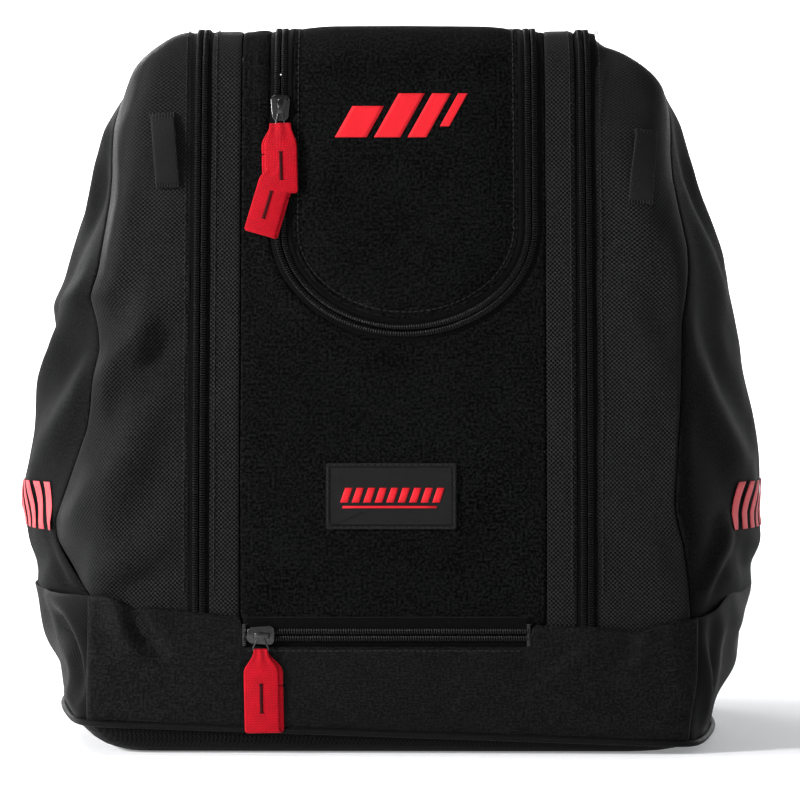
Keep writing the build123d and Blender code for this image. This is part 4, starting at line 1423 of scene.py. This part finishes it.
# ---- back: pads, straps, handle ------------------------------------------------------------------
def closed_pad(name, path, outs, wide, thick, material):
    """A stuffed form along a path: rounded sections that taper in at both ends."""
    count = 28
    rows = []
    share = np.linspace(0, 1, len(path))
    for point, out, s in zip(path, outs, share):
        end = min(1.0, math.sin(math.pi * min(s, 1 - s) / 0.10) if min(s, 1 - s) < 0.05 else 1.0)
        row = []
        for a in np.linspace(0, 2 * math.pi, count, endpoint=False):
            c, d = math.cos(a), math.sin(a)
            flat = math.copysign(abs(c) ** 0.45, c) * wide / 2 * (0.90 + 0.10 * end)
            high = math.copysign(abs(d) ** 0.8, d) * thick / 2 * (0.35 + 0.65 * end)
            row.append(point + np.array([flat, 0, 0]) + out * high)
        rows.append(row + row[:1])
    grid = np.array(rows)
    first = [np.repeat(grid[k].mean(axis=0)[None], count + 1, 0) for k in (0, -1)]
    grid = np.concatenate([[first[0]], grid, [first[1]]])
    bm = cloth_grid(grid, grid[..., [0, 2]])
    bmesh.ops.remove_doubles(bm, verts=bm.verts[:], dist=0.02 * MM)
    bmesh.ops.recalc_face_normals(bm, faces=bm.faces[:])
    return keep(bm, name, material)


def stuff(piece, cap):
    """Fill a pad by cloth simulation: equal cells, pressure from inside, limited movement."""
    start_mesh = piece.modifiers.new("cells", "REMESH")
    start_mesh.mode, start_mesh.voxel_size = "VOXEL", 4.5 * MM
    set_mesh(piece)
    before = np.array([v.co[:] for v in piece.data.vertices])
    cloth = piece.modifiers.new("filling", "CLOTH")
    cloth.settings.use_pressure = True
    cloth.settings.uniform_pressure_force = 4.0
    cloth.settings.effector_weights.gravity = 0.0
    cloth.settings.quality = 5
    cloth.point_cache.frame_start, cloth.point_cache.frame_end = 1, 20
    for number in range(1, 21):
        bpy.context.scene.frame_set(number)
    set_mesh(piece)
    bpy.context.scene.frame_set(1)
    after = np.array([v.co[:] for v in piece.data.vertices])
    move = after - before
    size = np.linalg.norm(move, axis=1, keepdims=True)
    after = before + move * np.minimum(1.0, cap / np.maximum(size, 1e-9))
    for vert, co in zip(piece.data.vertices, after):
        vert.co = co


def set_mesh(piece):
    """Make what a piece's modifiers give its own mesh."""
    ready = piece.evaluated_get(bpy.context.evaluated_depsgraph_get())
    mesh = bpy.data.meshes.new_from_object(ready)
    piece.modifiers.clear()
    piece.data = mesh


def finish_pad(piece, body, node, channels=()):
    """Sewn channels across a pad, then a smooth surface."""
    for z, depth in channels:
        for vert in piece.data.vertices:
            near = math.exp(-((vert.co.z - z) / (2.6 * MM)) ** 2)
            vert.co.y -= depth * near * (1 if vert.co.y > BACK_Y + 5 * MM else 0)
    smooth = piece.modifiers.new("smooth", "SUBSURF")
    smooth.levels = smooth.render_levels = 1
    piece.data.shade_smooth()
    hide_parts(node)
    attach(piece, body)


def strap_path(low, high):
    """The middle of a shoulder strap's thickness, bowing off the back from end to end."""
    top_z, end_z = high.z, low.z
    back = BACK_Y
    outer = through(np.array([
        (back + 9.0 * MM, top_z - 7 * MM), (back + 24 * MM, top_z - 62 * MM),
        (back + 32 * MM, (top_z + end_z) / 2), (back + 25 * MM, end_z + 56 * MM),
        (back + 9.5 * MM, end_z + 7 * MM)]), 44)
    points = np.column_stack([np.full(44, (low.x + high.x) / 2), outer])
    outs = cross_ways(points)
    return points, outs if outs[20, 1] > 0 else -outs


def pads_and_straps():
    """The back's spine pad and two padded shoulder straps, with their webbing round the buckles and their sewn
    anchors.
    """
    low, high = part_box("spine_pad")
    count = 40
    z = np.linspace(low.z + 3 * MM, high.z - 3 * MM, count)
    path = np.column_stack([np.zeros(count), np.full(count, (low.y + high.y) / 2), z])
    spine = closed_pad("spine_pad_cushion", path, np.tile([0, 1.0, 0], (count, 1)), 42 * MM,
                       6.0 * MM, PAD_CLOTH)
    straps = []
    for sign, n in SIDES:
        low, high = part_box(f"{n}_shoulder_strap")
        path, outs = strap_path(low, high)
        straps.append((n, closed_pad(f"{n}_strap_cushion", path, outs, 56 * MM, 10 * MM,
                                     PAD_CLOTH)))
    for piece in [spine] + [s for _, s in straps]:
        stuff(piece, 1.6 * MM)
    finish_pad(spine, "bag", "spine_pad",
               [(z * MM, 1.6 * MM) for z in (145, 185, 225, 265)])
    for n, piece in straps:
        finish_pad(piece, "bag", f"{n}_shoulder_strap")
    for sign, n in SIDES:
        mid = sign * 60 * MM
        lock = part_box(f"{n}_ladder_lock")
        low_y, high_y, lock_z = lock[0].y, lock[1].y, (lock[0].z + lock[1].z) / 2
        def strip(name, yz, wide, node):
            line = spline(np.array([(mid, y, z) for y, z in yz]), 60)
            ribbon(name, line, cross_ways(line), np.linspace(-wide / 2, wide / 2, 9), np.zeros(9),
                   BLACK_WEBBING, 1.4 * MM, slot="black_webbing", body="bag", replaces=(node,))
        strip(f"{n}_adjusting_webbing", [
            (BACK_Y + 1.6 * MM, 24 * MM), (BACK_Y + 1.6 * MM, 36 * MM), (low_y - 1.6 * MM, lock_z - 18 * MM),
            (low_y - 1.4 * MM, lock_z - 9 * MM), (low_y + 0.4 * MM, lock_z - 6.4 * MM),
            (high_y - 0.4 * MM, lock_z - 6.4 * MM), (high_y + 1.4 * MM, lock_z - 9 * MM),
            (high_y + 1.6 * MM, lock_z - 30 * MM), (high_y + 1.0 * MM, lock_z - 60 * MM),
            (high_y - 0.5 * MM, lock_z - 66 * MM)], 24.5 * MM, f"{n}_strap_webbing")
        strip(f"{n}_buckle_webbing", [
            (BACK_Y + 9 * MM, 106 * MM), (high_y + 1.8 * MM, 101 * MM), (high_y + 1.6 * MM, lock_z + 10 * MM),
            (high_y - 0.6 * MM, lock_z + 8 * MM), (low_y - 0.8 * MM, lock_z + 8 * MM),
            (low_y - 1.0 * MM, lock_z + 12 * MM)], 24.5 * MM, f"{n}_buckle_tab")
        anchor_low, anchor_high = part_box(f"{n}_strap_anchor")
        wide = anchor_high.x - anchor_low.x
        bm = bmesh.new()
        block(bm, (wide, 1.6 * MM, 14 * MM), (mid, BACK_Y + 0.9 * MM, 28 * MM))
        for vert in bm.verts:
            if vert.co.z > 28 * MM:
                vert.co.x = mid + (vert.co.x - mid) * 0.66
        bmesh.ops.subdivide_edges(bm, edges=bm.edges[:], cuts=3, use_grid_fill=True)
        round_off(bm, [e for e in bm.edges if e.calc_face_angle(0) > 0.6], 0.4 * MM, 2)
        keep(bm, f"{n}_anchor_patch", PAD_CLOTH, body="bag", slot="ballistic_fabric",
             replaces=(f"{n}_strap_anchor",))
        cross = []
        for k in range(12):
            for slope in (1, -1):
                cross.append(Matrix.Translation((mid + (k - 5.5) * 2.0 * MM, BACK_Y + 2.6 * MM,
                             28 * MM + slope * (k - 5.5) * 0.85 * MM)) @ Matrix.Rotation(-slope * 0.4, 4, "Y"))
        bars(f"{n}_anchor_stitches", cross, (2.0 * MM, 0.4 * MM, 0.5 * MM), BLACK_THREAD,
             body="bag",
             slot="black_webbing")


def haul_handle():
    """The haul handle: rolled webbing hanging behind the top edge, with sewn ends."""
    low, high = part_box("grab_handle")
    y = (low.y + high.y) / 2
    half, top, drop = 31 * MM, high.z - 5.5 * MM, 30 * MM
    pull_points = [(-half, y, top), (-half, y, top - drop * 0.55),
                   (-half + 2 * MM, y, top - drop * 0.98), (-half + 14 * MM, y, top - drop),
                   (0, y, top - drop), (half - 14 * MM, y, top - drop),
                   (half - 2 * MM, y, top - drop * 0.98), (half, y, top - drop * 0.55),
                   (half, y, top)]
    line = spline(np.array(pull_points), 90)
    side = cross_ways(line, (0, 1.0, 0))
    run = lengths(line)
    turns = np.linspace(0, 2 * math.pi, 21)
    grip = np.minimum(1, np.minimum(run, run[-1] - run) / (14 * MM))
    wide = 5.2 * MM
    thick = (2.4 + 2.6 * smooth_step(grip)) * MM
    grid = np.array([[p + s * wide * math.cos(a) + np.array([0, t * math.sin(a), 0]) for a in turns]
                     for p, s, t in zip(line, side, thick)])
    u, v = np.meshgrid(turns * 5 * MM, run)
    bm = cloth_grid(grid, np.stack([u, v], 2))
    bmesh.ops.remove_doubles(bm, verts=bm.verts[:], dist=0.02 * MM)
    bmesh.ops.holes_fill(bm, edges=[e for e in bm.edges if e.is_boundary], sides=0)
    bmesh.ops.recalc_face_normals(bm, faces=bm.faces[:])
    keep(bm, "haul_handle_webbing", BLACK_WEBBING, body="grab_handle", slot="black_webbing",
         replaces=("grab_handle",))
    for sign, n in SIDES:
        points = np.array([(sign * half, BACK_Y + d * MM, z * MM) for d, z in
                           ((1.0, 352), (1.8, 362), (1.4, 372), (-3.0, 380), (-9.0, 385))])
        line = spline(points, 20)
        ribbon(f"{n}_handle_root", line, -cross_ways(line), np.linspace(9, -9, 7) * MM, np.zeros(7),
               BLACK_WEBBING, 1.4 * MM, slot="black_webbing", body="bag")


def cad_finishes():
    """Materials for the made parts that are shown as they are."""
    for node, material in (
        ("base_board", BOARD), ("pocket_lining", LINING), ("left_divider_wall", LINING),
        ("right_divider_wall", LINING), ("left_ladder_lock", BUCKLE), ("right_ladder_lock", BUCKLE),
    ):
        piece = frame["nodes"][node]
        if not piece.material_slots:
            piece.data.materials.append(material)
        for holder in piece.material_slots:
            holder.material = material


# ---- floor, light and camera ---------------------------------------------------------------------
def studio():
    """A pale floor that sweeps up behind the bag, soft light from the front left, the camera."""
    pale = Finish("pale_floor")
    cloud = pale.noise(pale.object_place(), 3.0, 2.0)
    pale.set(Base_Color=pale.mix(cloud, (0.86, 0.86, 0.87, 1), (0.89, 0.89, 0.90, 1)),
             Roughness=0.75,
             Emission_Color=(0.97, 0.98, 1.0, 1), Emission_Strength=0.24)
    bm = bmesh.new()
    rise = [(0.0, 0.0), (2.5, 0.0), (5.0, 0.0)] + [
        (5.0 + 2.0 * math.sin(a), 2.0 - 2.0 * math.cos(a)) for a in np.linspace(0.1, math.pi / 2, 14)
    ] + [(7.0, 4.0)]
    line = [bm.verts.new((0, -r, z)) for r, z in rise]
    edges = [bm.edges.new(pair) for pair in zip(line, line[1:])]
    bmesh.ops.spin(bm, geom=line + edges, cent=(0, 0, 0), axis=(0, 0, 1), dvec=(0, 0, 0),
                   angle=2 * math.pi, steps=64, use_merge=True, use_duplicate=False)
    bmesh.ops.remove_doubles(bm, verts=bm.verts[:], dist=0.5 * MM)
    bmesh.ops.recalc_face_normals(bm, faces=bm.faces[:])
    bmesh.ops.reverse_faces(bm, faces=bm.faces[:])
    floor = keep(bm, "studio_floor", pale.material)

    world = bpy.data.worlds.new("studio_air")
    bpy.context.scene.world = world
    world.use_nodes = True
    air = world.node_tree.nodes["Background"]
    air.inputs["Color"].default_value = (0.97, 0.98, 1.0, 1)
    air.inputs["Strength"].default_value = 0.13

    for name, place, aim, size, power in (
        ("key", (-1.80, -1.05, 0.80), (0, -0.05, 0.22), 0.45, 74),
        ("top", (-0.9, 0.2, 2.0), (0, 0.1, 0.0), 1.0, 38),
        ("rear", (-0.9, 1.7, 1.2), (0, 0, 0.2), 0.9, 22),
        ("backdrop", (0, 2.6, 2.4), (0, 7.0, 0.9), 2.4, 420),
    ):
        lamp = bpy.data.lights.new(name + "_light", "AREA")
        lamp.shape, lamp.size, lamp.energy = "DISK", size, power
        holder = bpy.data.objects.new(name + "_light", lamp)
        bpy.context.scene.collection.objects.link(holder)
        holder.location = place
        holder.rotation_euler = (Vector(aim) - Vector(place)).to_track_quat("-Z", "Y").to_euler()

    lens = bpy.data.cameras.new("front_camera")
    lens.sensor_width, lens.lens = 36.0, 36.0 * 1.6 / 0.424
    camera = bpy.data.objects.new("front_camera", lens)
    camera.location = (3.7 * MM, FRONT_Y - 1.6, 188 * MM)
    camera.rotation_euler = (math.pi / 2, 0, 0)
    bpy.context.scene.collection.objects.link(camera)
    bpy.context.scene.camera = camera
    bpy.context.scene.view_settings.view_transform = "Standard"


studio()
base()
base_pocket()
centre_panel()
lid()
lid_mark()
back_panel()
for side_sign, side_name in SIDES:
    front_strip(side_sign, side_name)
    zipper_side(side_sign, side_name)
    doors(side_sign, side_name)
    side_marks(side_sign, side_name)
hardware()
webbing_loops()
label()
pads_and_straps()
haul_handle()
cad_finishes()
